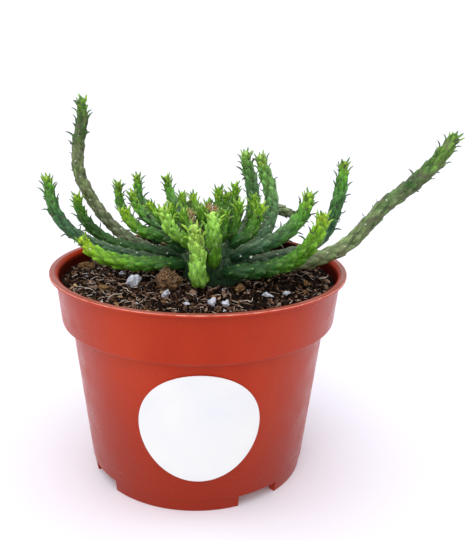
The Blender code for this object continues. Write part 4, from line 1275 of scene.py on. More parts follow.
@dataclass
class Crown:
    """The head's skin, studded with tubercles, and the dried flowers among the short arms."""

    head: Head
    seed: int = 21
    # (azimuth in degrees, reach from the head's axis in mm, height in mm, size factor)
    flowers: tuple[tuple[float, float, float, float], ...] = (
        (192, 8.8, 93.6, 1.1), (204, 9.6, 92.4, 1.0), (184, 9.4, 94.4, 0.9), (160, 4.2, 95.0, 1.0),
        (150, 3.0, 95.4, 1.1), (190, 2.4, 95.2, 1.2), (120, 1.6, 95.0, 1.0), (270, 1.4, 94.0, 0.9),
        (250, 5.2, 92.6, 0.9), (170, 5.4, 94.4, 1.1), (310, 5.0, 93.0, 0.8),
        (158, 19.0, 80.8, 1.3), (151, 22.5, 80.6, 1.2), (163, 15.5, 82.0, 1.1))
    petals: int = 21
    stud_length: float = 1.15  # of the stud's form, whose greatest width is one
    spread: float = 1.15  # how far down from the top the studs reach, as a share of the dome's height

    def stud(self) -> Collection:
        """Make one tubercle lying on the dome: it rises to its upper end and drops there.

        Returns:
            The collection that holds it, out of the scene.
        """
        sides, steps = 8, 5
        points: list[Point] = []
        for step in range(steps):
            share = step / (steps - 1)
            width = math.sin(math.pi * (0.12 + 0.8 * share)) * 0.5
            for side in range(sides):
                turn = math.tau * side / sides
                points.append(((share - 0.5) * self.stud_length, width * math.cos(turn),
                               (0.05 + 0.34 * share ** 1.4) * math.sin(turn)))
        mesh = mesh_from("stud_form", points, tube_faces(len(points), sides))
        set_attribute(mesh, "ridge", [0.15 + 0.7 * (place[0] / self.stud_length + 0.5) for place in points])
        set_attribute(mesh, "growth", [2.4] * len(points))
        return collect("stud_forms", (mesh,))

    def places(self) -> Mesh:
        """Join the dome's skin and a loose point for each tubercle in one mesh that the tree starts from.

        Returns:
            The mesh.
        """
        points, faces = self.head.surface()
        count = len(points)
        outward: list[Vector] = []
        for index in range(self.head.studs):
            rise = math.degrees(math.asin(1 - self.spread * (index + 0.5) / self.head.studs))
            place, direction = self.head.outward(index * 360 * DIVERGENCE, rise)
            points.append(tuple(place - direction * 0.2))
            outward.append(direction)
        mesh = mesh_from("head_studded", points, faces)
        set_attribute(mesh, "growth", [2.6] * len(points))
        set_attribute(mesh, "ridge", [0.3] * len(points))
        set_attribute(mesh, "is_place", [0.0] * count + [1.0] * len(outward))
        for axis, name in enumerate(("face_x", "face_y", "face_z")):
            set_attribute(mesh, name, [0.0] * count + [direction[axis] for direction in outward])
        return mesh

    def tree(self) -> NodeTree:
        """Build the tree that sets a tubercle on every loose point, its upper end towards the crown.

        Returns:
            The tree.
        """
        tree, given = geometry_tree("studded_head", {
            "Size": "Float", "Forms": "Collection", "Skin": "Material"})
        add = partial(add_node, tree)
        read = [add(READ, name) for name in ("is_place", "face_x", "face_y", "face_z")]
        parts = add("GeometryNodeSeparateGeometry", given["Geometry"], read[0], domain="POINT").node
        facing = add(COMBINE, *read[1:])
        rotation = add("FunctionNodeAxesToRotation", facing, (0.0, 0.0, 1.0), primary_axis="Z",
                       secondary_axis="X")
        points = add("GeometryNodeMeshToPoints", {"Mesh": parts.outputs["Selection"]})
        forms = add("GeometryNodeCollectionInfo", {"Collection": given["Forms"], "Reset Children": True})
        studs = add("GeometryNodeInstanceOnPoints", {
            "Points": points, "Instance": forms, "Rotation": rotation, "Scale": given["Size"]})
        whole = add("GeometryNodeJoinGeometry", [studs, parts.outputs["Inverted"]])
        whole = add("GeometryNodeRealizeInstances", whole)
        whole = add("GeometryNodeSetShadeSmooth", {"Geometry": whole})
        whole = add("GeometryNodeSetMaterial", {"Geometry": whole, "Material": given["Skin"]})
        add("NodeGroupOutput", whole)
        return tree

    def remains(self, builder: bmesh.types.BMesh, petal: Mesh, top: Vector, size: float,
                draw: random.Random) -> None:
        """Add one dried flower: a bent stalk with a ragged tuft of shrunken lobes.

        Args:
            builder: The mesh that takes it, in mm.
            petal: The form of one lobe.
            top: Where the tuft sits, in mm.
            size: Size factor.
            draw: The source of chance.
        """
        foot = Vector((HEAD_AXIS_X, 0.0, self.head.waist + 4.0))
        for index in range(self.petals + 1):
            stalk = index == self.petals
            lean = 180.0 if stalk else draw.uniform(5, 100)
            length = ((top - foot).length / 2.4) if stalk else size * draw.uniform(0.5, 1.1)
            width = 0.5 if stalk else size * draw.uniform(0.35, 0.7)
            turn = Matrix.Rotation(math.radians(index * 137.5), 4, "Z")
            turn = turn @ Matrix.Rotation(math.radians(lean), 4, "Y")
            aim = (top - foot).to_track_quat("Z", "Y").to_matrix().to_4x4()
            shape = Matrix.Diagonal((width, width, length, 1.0))
            start = len(builder.verts)
            builder.from_mesh(petal)
            builder.verts.ensure_lookup_table()
            place = Matrix.Translation(top) @ aim @ turn @ shape
            bmesh.ops.transform(builder, matrix=place @ Matrix.Scale(1 / MM, 4), verts=builder.verts[start:])

    def build(self, petal: Mesh) -> None:
        """Build the head's skin and its dried flowers.

        Args:
            petal: The form of a withered leaf, which a flower's lobes repeat.
        """
        # The head's dark greens are painted shade: it lies deep among the bases of the arms
        skin = StemSkin("caudex_cuticle", tip="#2c4a2a", growth="#2c4a2a", middle="#2a4629", base="#27432e",
                        underside_shade="#1f3318", ridge="#6d8a5c", groove_shade="#0f1c10").build()
        piece = grow("head_grown", self.places(), self.tree(), {
            "Size": self.head.stud_size, "Forms": self.stud(), "Skin": skin}, ("growth", "ridge"))
        dress(piece, "head_skin", "head")
        builder = bmesh.new()
        draw = random.Random(self.seed)
        for azimuth, reach, height, size in self.flowers:
            top = Vector(polar(HEAD_AXIS_X, reach, math.radians(azimuth), height))
            self.remains(builder, petal, top, size, draw)
        tissue = Granular("dried_flower_tissue", (
            (0.25, "#6e5a40"), (0.5, "#bc9e70"), (0.75, "#f0dcb0")), 0.8, 1.0, 0.1, by_piece=False)
        mesh = mesh_from_builder("dried_flowers", builder, 60.0)
        dress(link_piece("dried_flowers", mesh, tissue.build()), "head_skin")


# ---------------------------------------------------------------- potting mix


@dataclass
class MixForms:
    """The few shapes that are scattered over the mix: crumbs, fibres, flakes and perlite grains."""

    seed: int = 3
    detail: int = 1  # subdivisions of each grain

    def grains(self, name: str, count: int, roughness: float, squash: tuple[float, float]) -> Collection:
        """Make angular grains about a millimetre across.

        Args:
            name: The collection's name.
            count: How many shapes there are.
            roughness: How far its corners move, as a share of its size.
            squash: Least and greatest height, as shares of its width.

        Returns:
            The collection of shapes, out of the scene.
        """
        shapes = []
        draw = random.Random(self.seed + count + self.detail)
        for index in range(count):
            builder = bmesh.new()
            bmesh.ops.create_icosphere(builder, subdivisions=self.detail, radius=0.5)
            stretch = Vector((1.0, draw.uniform(0.42, 0.9), draw.uniform(*squash)))
            seed = Vector((draw.uniform(0, 50), draw.uniform(0, 50), index))
            for vertex in builder.verts:
                bump = 1.0 + roughness * noise.noise(vertex.co * 3.4 + seed) + draw.uniform(-0.1, 0.1)
                vertex.co = Vector(a * b for a, b in zip(vertex.co, stretch)) * bump
            shapes.append(mesh_from_builder(f"{name}_{index}", builder, 30.0))
        return collect(name, shapes)

    def fibres(self, name: str, count: int, length: float, width: float) -> Collection:
        """Make curved fibres lying along X.

        Args:
            name: The collection's name.
            count: How many shapes there are.
            length: Their length, mm.
            width: Their greatest width, mm.

        Returns:
            The collection of shapes, out of the scene.
        """
        shapes = []
        draw = random.Random(self.seed * 5 + count)
        steps, sides = 5, 3
        for index in range(count):
            bend, lift, kink = draw.uniform(-0.5, 0.5), draw.uniform(0.05, 0.3), draw.uniform(-0.2, 0.2)
            points: list[Point] = []
            for step in range(steps + 1):
                share = step / steps
                x, y, z = (length * (share - 0.5),
                           length * (bend * (share - 0.5) ** 2 + kink * math.sin(5 * share)),
                           length * lift * share * (1 - share))
                radius = width / 2 * (0.45 + 0.55 * math.sin(math.pi * (0.1 + 0.8 * share)))
                for side in range(sides):
                    turn = math.tau * side / sides
                    points.append((x, y + radius * math.cos(turn), z + radius * math.sin(turn)))
            shapes.append(mesh_from(f"{name}_{index}", points, tube_faces(len(points), sides)))
        return collect(name, shapes)


@dataclass
class PottingMix:
    """The mix that fills the pot: a crumbly surface with peat, fibre, bark flakes and perlite on it."""

    level: float = 70.4
    tilt: float = -0.010
    ripple: float = 0.7
    ripple_size: float = 9.0
    edge: float = 48.4
    rings: int = 96
    segments: int = 384
    crumb: float = 1.0
    crumb_size: float = 4.6
    clod: float = 2.6
    clod_size: float = 7.0
    seed: int = 11
    scatter_step: float = 1.6  # between the points of the surface that things are scattered on
    scatter_edge: float = 0.6  # how far in from the wall they start
    bare: float = 12.5  # distance from the head's axis, mm, within which nothing is scattered
    # (radius, height) of the body below the surface, clear of the pot's wall
    below: tuple[tuple[float, float], ...] = (
        (47.4, 66.0), (47.4, 58.9), (44.2, 58.4), (39.2, 6.6), (37.9, 5.7))

    def height(self, x: float, y: float) -> float:
        """Return the height of the surface at a place from the pot's axis, all in mm."""
        wave = noise.noise(Vector((x / self.ripple_size, y / self.ripple_size, 3.0)))
        return self.level + self.tilt * x + self.ripple * wave

    def crumbs(self, x: float, y: float) -> float:
        """Tell how far the crumbs raise or lower the surface.

        Args:
            x: Distance right of the pot's axis, mm.
            y: Distance behind it, mm.

        Returns:
            The change in height, mm.
        """
        place = Vector((x / self.crumb_size, y / self.crumb_size, 8.0))
        coarse = noise.noise(place) + 0.5 * noise.noise(place * 2.3) + 0.3 * noise.noise(place * 5.1)
        bent = Vector((x, y, 0.0)) / self.clod_size + 0.3 * noise.noise_vector(place)
        clod = 0.5 - noise.voronoi(bent)[0][0]
        return self.crumb * coarse + self.clod * clod

    def surface(self, x: float, y: float) -> Point:
        """Return the point of the crumbly surface at a place from the pot's axis."""
        return POT_AXIS_X + x, y, self.height(x, y) + self.crumbs(x, y)

    def body(self) -> Mesh:
        """Make the mix as one closed body with an uneven top.

        Returns:
            The mesh.
        """
        turns = [math.tau * index / self.segments for index in range(self.segments)]
        points: list[Point] = [(POT_AXIS_X, 0.0, self.height(0, 0))]
        for step in range(1, self.rings + 1):
            radius = self.edge * step / self.rings
            points += [self.surface(radius * math.cos(turn), radius * math.sin(turn)) for turn in turns]
        for radius, height in self.below:
            points += [polar(POT_AXIS_X, radius, turn, height) for turn in turns]
        rings = [[number + 1 for number in ring] for ring in rings_of(len(points) - 1, self.segments)]
        rings = [[0], *rings, [len(points)]]
        points.append((POT_AXIS_X, 0.0, self.below[-1][1]))
        return mesh_from("mix_body", points, skin_faces(rings, inside_out=True))

    def top(self, share: Callable[[float, float], float]) -> Mesh:
        """Make the open surface that things are scattered on.

        Args:
            share: How thickly to scatter at a place, from 0 to 1.

        Returns:
            The surface, with that share stored as "thickly".
        """
        step = self.scatter_step
        count = int(self.edge / step)
        points: list[Point] = []
        shares: list[float] = []
        numbers: dict[tuple[int, int], int] = {}
        for row in range(-count, count + 1):
            for column in range(-count, count + 1):
                x, y = column * step, row * step
                if math.hypot(x, y) > self.edge - self.scatter_edge:
                    continue
                numbers[row, column] = len(points)
                points.append(self.surface(x, y))
                from_head = math.hypot(x - (HEAD_AXIS_X - POT_AXIS_X), y)
                shares.append(share(x, y) if from_head > self.bare else 0.0)
        faces = []
        for (row, column), number in numbers.items():
            square = [number] + [numbers.get(place) for place in (
                (row, column + 1), (row + 1, column + 1), (row + 1, column))]
            if None not in square:
                faces.append(square)
        mesh = mesh_from("mix_top", points, faces)
        set_attribute(mesh, "thickly", shares)
        return mesh

    def tree(self) -> NodeTree:
        """Build the tree that scatters shapes over a surface.

        Returns:
            The tree.
        """
        tree, given = geometry_tree("scatter", {
            "Density": "Float", "Seed": "Int", "Smallest": "Float", "Largest": "Float", "Upright": "Float",
            "Lift": "Float", "Forms": "Collection", "Material": "Material"})
        add = partial(add_node, tree)
        density = add(MULTIPLY, given["Density"], add(READ, "thickly"))
        points = add("GeometryNodeDistributePointsOnFaces", {
            "Mesh": given["Geometry"], "Density": density, "Seed": given["Seed"]})

        # Most pieces are small; each is tipped, turned and lifted, and has a tone of its own
        sizes = add("FunctionNodeRandomValue", {2: 0.0, 3: 1.0, "Seed": given["Seed"]}, output=1,
                    data_type="FLOAT")
        sizes = add(RANGE, {0: add(POWER, sizes, 2.2), 3: given["Smallest"], 4: given["Largest"]})
        tips = add("FunctionNodeRandomValue", {
            0: (-1.0, -1.0, -math.pi), 1: (1.0, 1.0, math.pi), "Seed": given["Seed"]},
            data_type="FLOAT_VECTOR")
        upright = add(COMBINE, given["Upright"], given["Upright"], 1.0)
        rotation = add("FunctionNodeEulerToRotation", add(STRETCH, tips, upright))
        lift = add(MULTIPLY, add(MULTIPLY, given["Lift"], sizes), MM)
        points = add("GeometryNodeSetPosition", {"Geometry": points, "Offset": add(COMBINE, {2: lift})})
        tone = add("FunctionNodeRandomValue", {2: 0.0, 3: 1.0, "Seed": 99}, output=1, data_type="FLOAT")
        points = add(STORE, points, "tone", tone)
        forms = add("GeometryNodeCollectionInfo", {
            "Collection": given["Forms"], "Separate Children": True, "Reset Children": True})
        pick = add("FunctionNodeRandomValue", {4: 0, 5: 60, "Seed": 5}, output=2, data_type="INT")
        scattered = add("GeometryNodeInstanceOnPoints", {
            "Points": points, "Instance": forms, "Pick Instance": True, "Instance Index": pick,
            "Rotation": rotation, "Scale": sizes})
        scattered = add("GeometryNodeRealizeInstances", scattered)
        scattered = add("GeometryNodeSetMaterial", {"Geometry": scattered, "Material": given["Material"]})
        add("NodeGroupOutput", scattered)
        return tree

    def build(self, tree: NodeTree, forms: MixForms) -> None:
        """Build the body of the mix and everything loose on it.

        Args:
            tree: The tree that scatters shapes over a surface.
            forms: The maker of the shapes.
        """
        damp = Granular("damp_peat", (
            (0.3, "#060403"), (0.48, "#140d09"), (0.62, "#2c1e16"), (0.78, "#5a4234")), 0.95, 1.0, 0.35,
            by_piece=False)
        dress(link_piece("mix_body", self.body(), damp.build()), "potting_mix", "potting_mix")
        peat = Granular("peat_crumb", (
            (0.0, "#050302"), (0.46, "#130c08"), (0.7, "#2e1f17"), (0.86, "#604634"), (1.0, "#b0927a")),
            0.9, 0.6)
        coir = Granular("coir_fibre", (
            (0.0, "#0c0705"), (0.36, "#2e1d15"), (0.58, "#6e4e3c"), (0.76, "#b4947c"), (1.0, "#f2e6d8")),
            0.8, 0.8, 0.05)
        flake = Granular("bark_flake", (
            (0.0, "#2b1b10"), (0.4, "#5d3f27"), (0.75, "#9b7448"), (1.0, "#d2b58c")), 0.85, 0.7)
        grit = Granular("perlite_grit", ((0.0, "#6f6f72"), (0.4, "#b4b5b9"), (1.0, "#e2e2e6")), 0.85, 0.5)
        plain = self.top(lambda x, y: 1.0)
        fibrous = self.top(lambda x, y: max(0.35, min(1.0, 0.55 - x / 50)))
        scatters = (
            ("mix_crumbs", plain, 1.2e6, 0.4, 2.3, 1.5, 0.1,
             forms.grains("crumb", 6, 0.5, (0.5, 0.9)), peat),
            ("mix_fibres", fibrous, 9.0e5, 0.45, 1.9, 0.6, 0.3,
             forms.fibres("fibre", 9, 2.9, 0.19), coir),
            ("mix_flakes", fibrous, 1.3e5, 0.7, 3.4, 0.8, 0.12,
             forms.grains("flake", 7, 0.6, (0.1, 0.25)), flake),
            ("mix_perlite", plain, 1.6e4, 0.6, 1.7, 1.5, 0.15,
             forms.grains("grit", 6, 0.7, (0.5, 0.9)), grit))
        for number, (name, top, density, least, most, upright, lift, shapes, finish) in enumerate(scatters):
            piece = grow(name, top.copy(), tree, {
                "Density": density, "Seed": self.seed + number, "Smallest": least, "Largest": most,
                "Upright": upright, "Lift": lift, "Forms": shapes, "Material": finish.build()}, ("tone",))
            dress(piece, "perlite" if name == "mix_perlite" else "potting_mix")


@dataclass
class Lump:
    """One loose lump on the mix, shaped inside the box of its solid."""

    node: str
    size: Point  # along its own X, Y and Z, mm
    turn: float  # degrees
    bumps: float
    grain: float
    facets: float
    stretch: Point = (1.0, 1.0, 1.0)

    def build(self, finish: Material, slot: str) -> None:
        """Build the lump: a fine sphere cut by flat breaks, then crumbled.

        Args:
            finish: Its material.
            slot: The record's slot for it.
        """
        low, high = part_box(self.node)
        centre = (low + high) / 2 / MM
        draw = random.Random(self.node)
        builder = bmesh.new()
        bmesh.ops.create_icosphere(builder, subdivisions=5, radius=0.5)
        breaks = []
        for _ in range(18):
            normal = Vector((draw.gauss(0, 1), draw.gauss(0, 1), draw.gauss(0, 1))).normalized()
            breaks.append((normal, draw.uniform(0.5 - 0.2 * self.facets, 0.5)))
        seed = Vector((draw.uniform(0, 90), draw.uniform(0, 90), draw.uniform(0, 90)))
        spin = Matrix.Rotation(math.radians(self.turn), 3, "Z")
        for vertex in builder.verts:
            for normal, distance in breaks:
                over = vertex.co.dot(normal) - distance
                if over > 0:
                    vertex.co -= normal * over
            place = Vector(a * b for a, b in zip(vertex.co, self.stretch)) * self.grain + seed
            rough = noise.noise(place) + 0.5 * noise.noise(place * 2.2) + 0.25 * noise.noise(place * 4.7)
            vertex.co *= 1.0 + self.bumps * rough
            vertex.co = spin @ Vector(a * b for a, b in zip(vertex.co, self.size)) + centre
        mesh = mesh_from_builder(self.node, builder)
        dress(link_piece(f"{self.node}_lump", mesh, finish), slot, self.node)


@dataclass
class LooseLumps:
    """The larger perlite and bark lumps that lie on the mix."""

    perlite: tuple[Lump, ...] = (
        Lump("perlite_large", (5.2, 4.0, 5.4), 20, 0.3, 2.6, 1.5),
        Lump("perlite_left", (2.4, 2.2, 1.8), -10, 0.35, 3.0, 1.2),
        Lump("perlite_small", (2.0, 1.8, 1.6), 35, 0.35, 3.0, 1.2),
        Lump("perlite_front_left", (3.0, 2.6, 3.2), 10, 0.4, 3.4, 1.3),
        Lump("perlite_front", (2.2, 2.0, 1.6), -25, 0.4, 3.0, 1.2),
        Lump("perlite_front_middle", (4.2, 3.0, 2.9), 15, 0.4, 3.4, 1.4),
        Lump("perlite_front_right", (3.1, 2.4, 2.6), 40, 0.4, 3.2, 1.3),
        Lump("perlite_flake", (4.6, 2.4, 1.9), -25, 0.4, 3.4, 1.4),
        Lump("perlite_right", (2.4, 2.1, 2.2), -15, 0.4, 3.2, 1.3))
    bark: tuple[Lump, ...] = (
        Lump("bark_chunk_left", (7.6, 4.4, 2.8), 8, 0.16, 4.0, 0.9, (0.5, 2.4, 2.4)),
        Lump("bark_clump", (7.8, 8.6, 7.2), 10, 0.42, 3.4, 0.5),
        Lump("bark_sliver_right", (4.8, 3.2, 3.4), 65, 0.2, 4.0, 1.0, (0.5, 0.5, 3.0)),
        Lump("bark_chip_front", (5.2, 3.2, 1.6), -35, 0.18, 4.0, 1.0, (0.5, 2.4, 2.4)))
    matted: str = "bark_clump"  # the lump that is a mat of fibres

    def build(self, tree: NodeTree, forms: MixForms) -> None:
        """Build all the lumps with their two finishes, and the fibres of the matted one.

        Args:
            tree: The tree that scatters shapes over a surface.
            forms: The maker of the shapes.
        """
        white = Granular("expanded_perlite", (
            (0.25, "#6d7078"), (0.42, "#aeb2bb"), (0.66, "#dfe1e7")), 0.85, 0.9, 0.35, by_piece=False).build()
        for lump in self.perlite:
            lump.build(white, "perlite")
        brown = Granular("weathered_bark", (
            (0.25, "#100905"), (0.4, "#4a3321"), (0.56, "#94724a"), (0.72, "#ceae80")), 0.85, 0.8, 0.6,
            (0.5, 1.8, 1.8), by_piece=False).build()
        for lump in self.bark:
            lump.build(brown, "bark")
        top = bpy.data.objects[f"{self.matted}_lump"].data.copy()
        set_attribute(top, "thickly", [1.0] * len(top.vertices))
        fibres = Granular("matted_bark_fibre", (
            (0.0, "#0c0604"), (0.3, "#341f15"), (0.6, "#7d5a40"), (0.82, "#bd9a7c"), (1.0, "#e8d4be")),
            0.8, 0.6)
        piece = grow(f"{self.matted}_fibres", top, tree, {
            "Density": 6.0e6, "Seed": 5, "Smallest": 0.35, "Largest": 0.85, "Upright": 1.2, "Lift": 0.0,
            "Forms": forms.fibres("matted_fibre", 6, 2.6, 0.2), "Material": fibres.build()}, ("tone",))
        dress(piece, "bark")


# ---------------------------------------------------------------- pot and label


@dataclass
class NurseryPot:
    """Thin-walled moulded pot: a tapered body under a straight collar and a rolled lip."""

    height: float = 75.0
    lip: float = 52.5
    lip_band: float = 2.2
    lip_depth: float = 1.0
    collar_top: float = 50.4
    collar_foot: float = 48.8
    ledge: float = 57.2
    body_top: float = 45.6
    body_foot: float = 39.5
    wall: float = 1.0
    foot: float = 4.2
    foot_recess: float = 0.4
    foot_width: float = 2.4
    floor: float = 1.2
    notches: int = 4
    first_notch: float = 35.4
    notch_angle: float = 23.0
    notch_reach: tuple[float, float] = (33.0, 45.0)  # radii between which the cutter runs
    notch_foot: float = -3.0
    notch_gap: float = 0.05  # how far below the floor the notches end
    drain: float = 2.4
    drain_ring: float = 30.0
    drain_depth: float = 6.0
    segments: int = 192
    inner_gloss: float = 0.03  # specular level of the inner wall, kept low so that its painted shade stays dark
    inward: float = -0.3  # faces turned to the axis by more than this are the inner wall

    def radius_at(self, height: float) -> float:
        """Return the outer radius of the tapered body at a height, in mm."""
        return self.body_foot + (self.body_top - self.body_foot) * height / self.ledge

    def outline(self) -> list[tuple[float, float, float]]:
        """Outline the wall from the middle of the floor outwards and back inside.

        Returns:
            The (radius, height, rounding) corners of the closed outline, in mm.
        """
        foot = self.body_foot - self.foot_recess
        inner = foot - self.foot_width
        under = self.height - self.lip_depth
        floor_top = self.foot + self.floor
        ledge_top = self.ledge + self.wall
        return [
            (0.0, self.foot, 0.0), (inner, self.foot, 0.4), (inner, 0.0, 0.3), (foot, 0.0, 0.3),
            (self.radius_at(self.foot) - self.foot_recess, self.foot, 0.12),
            (self.radius_at(self.foot), self.foot + 0.3, 0.15), (self.radius_at(self.ledge), self.ledge, 0.5),
            (self.collar_foot, self.ledge, 1.1), (self.collar_top, under, 0.25), (self.lip, under, 0.4),
            (self.lip, self.height, 0.4), (self.lip - self.lip_band, self.height, 0.6),
            (self.collar_top - self.wall, under, 0.8), (self.collar_foot - self.wall, ledge_top, 0.6),
            (self.radius_at(ledge_top) - self.wall, ledge_top, 0.4),
            (self.radius_at(floor_top) - self.wall, floor_top, 1.0), (0.0, floor_top, 0.0)]

    def rounded(self) -> list[tuple[float, float]]:
        """Round each corner of the outline to a small arc.

        Returns:
            The (radius, height) points, in mm.
        """
        corners = self.outline()
        points = [corners[0][:2]]
        for before, corner, after in zip(corners, corners[1:], corners[2:]):
            here = Vector(corner[:2])
            back, ahead = Vector(before[:2]) - here, Vector(after[:2]) - here
            cut = min(corner[2], back.length * 0.45, ahead.length * 0.45)
            first, last = here + back.normalized() * cut, here + ahead.normalized() * cut
            for share in (0.0, 0.25, 0.5, 0.75, 1.0):
                arc = first.lerp(here, share).lerp(here.lerp(last, share), share)
                points.append((arc.x, arc.y))
        return [*points, corners[-1][:2]]

    def cutter(self) -> Object:
        """Make one object that cuts the notches in the foot ring and the drain holes.

        Returns:
            The object.
        """
        builder = bmesh.new()
        holes = [(0.0, 0.0)]
        half = math.radians(self.notch_angle / 2)
        for index in range(self.notches):
            middle = math.radians(self.first_notch + index * 360.0 / self.notches)
            holes.append(polar(0.0, self.drain_ring, middle, 0.0)[:2])
            inner, outer = self.notch_reach
            corners = [
                builder.verts.new(polar(0.0, radius, turn, height))
                for height in (self.notch_foot, self.foot - self.notch_gap)
                for radius, turn in ((inner, middle - half), (outer, middle - half), (outer, middle + half),
                                     (inner, middle + half))]
            for face in ((0, 3, 2, 1), (4, 5, 6, 7), (0, 1, 5, 4), (1, 2, 6, 5), (2, 3, 7, 6), (3, 0, 4, 7)):
                builder.faces.new([corners[number] for number in face])
        for x, y in holes:
            bmesh.ops.create_cone(
                builder, cap_ends=True, segments=32, radius1=self.drain, radius2=self.drain,
                depth=self.drain_depth, matrix=Matrix.Translation((x, y, self.foot + self.floor / 2)))
        bmesh.ops.translate(builder, vec=(POT_AXIS_X, 0.0, 0.0), verts=builder.verts)
        return link_piece("pot_cutter", mesh_from_builder("pot_cutter", builder))

    def build(self) -> None:
        """Build the pot, cut its notches and holes, and hand it to the frame."""
        points: list[Point] = []
        rings: list[Ring] = []
        for radius, height in self.rounded():
            count = self.segments if radius > 0 else 1
            rings.append(list(range(len(points), len(points) + count)))
            points += [polar(POT_AXIS_X, radius, math.tau * index / self.segments, height)
                       for index in range(count)]
        raw = link_piece("pot_blank", mesh_from("pot_blank", points, skin_faces(rings)))
        cutter = self.cutter()
        cut = raw.modifiers.new("notches_and_drains", "BOOLEAN")
        cut.operation, cut.solver, cut.object = "DIFFERENCE", "EXACT", cutter
        graph = bpy.context.evaluated_depsgraph_get()
        mesh = bpy.data.meshes.new_from_object(raw.evaluated_get(graph), depsgraph=graph)
        for leftover in (raw, cutter):
            bpy.data.objects.remove(leftover)
        mesh.name = "pot_shell"
        mesh.shade_smooth()
        mesh.set_sharp_from_angle(angle=math.radians(40))
        mesh.materials.clear()
        # The inner wall takes a copy of the finish with less shine, so that its painted shade stays dark
        for finish in (MouldedPolypropylene("terracotta_polypropylene"),
                       MouldedPolypropylene("film_coated_polypropylene", gloss=self.inner_gloss)):
            mesh.materials.append(finish.build())
        for face in mesh.polygons:
            outward = Vector((face.center.x - POT_AXIS_X * MM, face.center.y, 0.0)).normalized()
            face.material_index = int(face.normal.dot(outward) < self.inward)
        dress(link_piece("pot_shell", mesh), "pot_plastic", "nursery_pot")


@dataclass
class Label:
    """Blank round vinyl label, wrapped on the pot's tapered body."""

    pot: NurseryPot
    diameter: float = 40.0
    thickness: float = 0.3
    clearance: float = 0.3
    height: float = 33.0
    azimuth: float = -86.2
    rings: int = 14
    segments: int = 128
    edge: float = 0.1  # rounding of the rim

    def build(self) -> None:
        """Build the label with a slightly rounded edge and hand it to the frame."""
        slope = (self.pot.body_top - self.pot.body_foot) / self.pot.ledge
        points: list[Point] = []
        skins: list[list[Ring]] = []
        for offset in (self.clearance + self.thickness, self.clearance):
            skin: list[Ring] = []
            for step in range(self.rings + 1):
                rim = self.edge * (step == self.rings)
                reach = (self.diameter / 2 - rim) * step / self.rings
                drop = rim if offset > self.clearance else 0.0
                count = self.segments if step else 1
                skin.append(list(range(len(points), len(points) + count)))
                for index in range(count):
                    turn = math.tau * index / self.segments
                    height = self.height + reach * math.sin(turn)
                    radius = self.pot.radius_at(height) + offset - drop
                    around = reach * math.cos(turn) / self.pot.radius_at(self.height)
                    around += math.radians(self.azimuth)
                    points.append(polar(POT_AXIS_X, radius, around, height - slope * offset))
            skins.append(skin)
        front, back = skins
        mesh = mesh_from("label_blank", points, skin_faces(front + back[::-1]))
        builder = bmesh.new()
        builder.from_mesh(mesh)
        bmesh.ops.recalc_face_normals(builder, faces=builder.faces)
        builder.to_mesh(mesh)
        builder.free()
        mesh.set_sharp_from_angle(angle=math.radians(50))
        vinyl = CoatedVinyl("coated_white_vinyl").build()
        dress(link_piece("label_blank", mesh, vinyl), "label_vinyl", "label")


# ---------------------------------------------------------------- stage


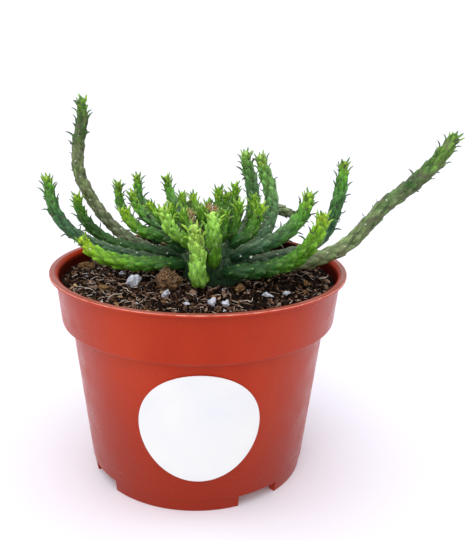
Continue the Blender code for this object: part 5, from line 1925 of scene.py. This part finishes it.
@dataclass
class Studio:
    """Plain white paper, soft lights and the camera in front of the pot."""

    camera_place: Point = (-2.45, -232.06, 142.11)
    pitch: float = 16.5  # degrees down
    roll: float = 1.43
    lens: float = 44.67
    floor: float = 30000.0  # half its width, mm
    floor_gap: float = 0.02  # how far it lies below the pot's feet, mm
    sky: float = 0.5  # strength of the white surroundings as a light
    sky_tint: str = "#eeeeff"
    seen: float = 1.0  # their strength where they are seen or mirrored
    # name, strength, the angle it spans in degrees, where it hangs, colour
    lamps: tuple[tuple[str, float, float, Point, str], ...] = (
        ("key_softbox", 1.05, 60.0, (-0.25, -1.0, 0.12), "#fffdf9"),
        ("overhead_diffuser", 1.8, 90.0, (-0.15, 0.15, 1.0), "#fafbff"),
        ("left_reflector", 0.6, 80.0, (-0.95, -0.3, 0.15), "#ffffff"),
        ("right_reflector", 0.9, 80.0, (0.95, -0.35, 0.15), "#ffffff"))
    near_softbox: tuple[Point, float, float] = ((-40.0, -330.0, 340.0), 260.0, 0.3)  # place and size in mm, W
    aim: Point = (0.0, 0.0, 70.0)  # what that softbox is turned to, mm

    def lights(self) -> None:
        """Add the wide soft lamps and the white surroundings."""
        for name, strength, angle, place, tint in self.lamps:
            data = bpy.data.lights.new(name, "SUN")
            data.energy, data.angle, data.color = strength, math.radians(angle), linear(tint)[:3]
            link_piece(name, data).rotation_euler = (-Vector(place)).to_track_quat("-Z", "Y").to_euler()
        place, size, power = self.near_softbox
        data = bpy.data.lights.new("near_softbox", "AREA")
        data.shape, data.size, data.energy = "SQUARE", size * MM, power
        lamp = link_piece("near_softbox", data)
        lamp.location = Vector(place) * MM
        lamp.rotation_euler = (Vector(self.aim) - Vector(place)).to_track_quat("-Z", "Y").to_euler()
        world = bpy.data.worlds.new("white_surroundings")
        world.use_nodes = True
        tree = world.node_tree
        tree.nodes.clear()
        add = partial(add_node, tree)
        path = add("ShaderNodeLightPath", output="Is Camera Ray")
        path = add(MAXIMUM, path, add("ShaderNodeLightPath", output="Is Glossy Ray"))
        strength = add(RANGE, {0: path, 3: self.sky, 4: self.seen})
        tint = add(MIX, path, linear(self.sky_tint), linear("#ffffff"))
        glow = add("ShaderNodeBackground", {"Color": tint, "Strength": strength})
        add("ShaderNodeOutputWorld", {"Surface": glow})
        bpy.context.scene.world = world

    def camera(self) -> None:
        """Add the camera, pitched down and rolled, at its place in front of the pot."""
        tip, roll = math.radians(self.pitch), math.radians(self.roll)
        view = Vector((0.0, math.cos(tip), -math.sin(tip)))
        level, upward = Vector((1.0, 0.0, 0.0)), Vector((0.0, math.sin(tip), math.cos(tip)))
        right = level * math.cos(roll) + upward * math.sin(roll)
        up = upward * math.cos(roll) - level * math.sin(roll)
        data = bpy.data.cameras.new("camera")
        data.lens, data.clip_start, data.clip_end = self.lens, 0.01, 20.0
        camera = link_piece("camera", data)
        turn = Matrix((right, up, -view)).transposed().to_4x4()
        camera.matrix_world = Matrix.Translation(Vector(self.camera_place) * MM) @ turn
        bpy.context.scene.camera = camera

    def build(self) -> None:
        """Build the floor, the lights and the camera."""
        half, low = self.floor, -self.floor_gap
        corners = [(-half, -half, low), (half, -half, low), (half, half, low), (-half, half, low)]
        paper = SeamlessPaper("seamless_white_paper").build()
        floor = link_piece("floor", mesh_from("floor", corners, [(0, 1, 2, 3)]), paper)
        floor.visible_diffuse = False
        self.lights()
        self.camera()
        bpy.context.scene.view_settings.view_transform = "Standard"


def main() -> None:
    """Build every sub-assembly in order."""
    logging.basicConfig(level=logging.INFO, format="%(message)s")
    Studio().build()
    pot = NurseryPot()
    pot.build()
    Label(pot).build()
    mix, forms = PottingMix(), MixForms()
    scatter = mix.tree()
    mix.build(scatter, forms)
    LooseLumps().build(scatter, forms)
    head = Head()
    leaves = LeafForms().build()
    Crown(head).build(leaves.objects["form_3_withered"].data)
    Arms(head).build(leaves)


if __name__ == "__main__":
    main()
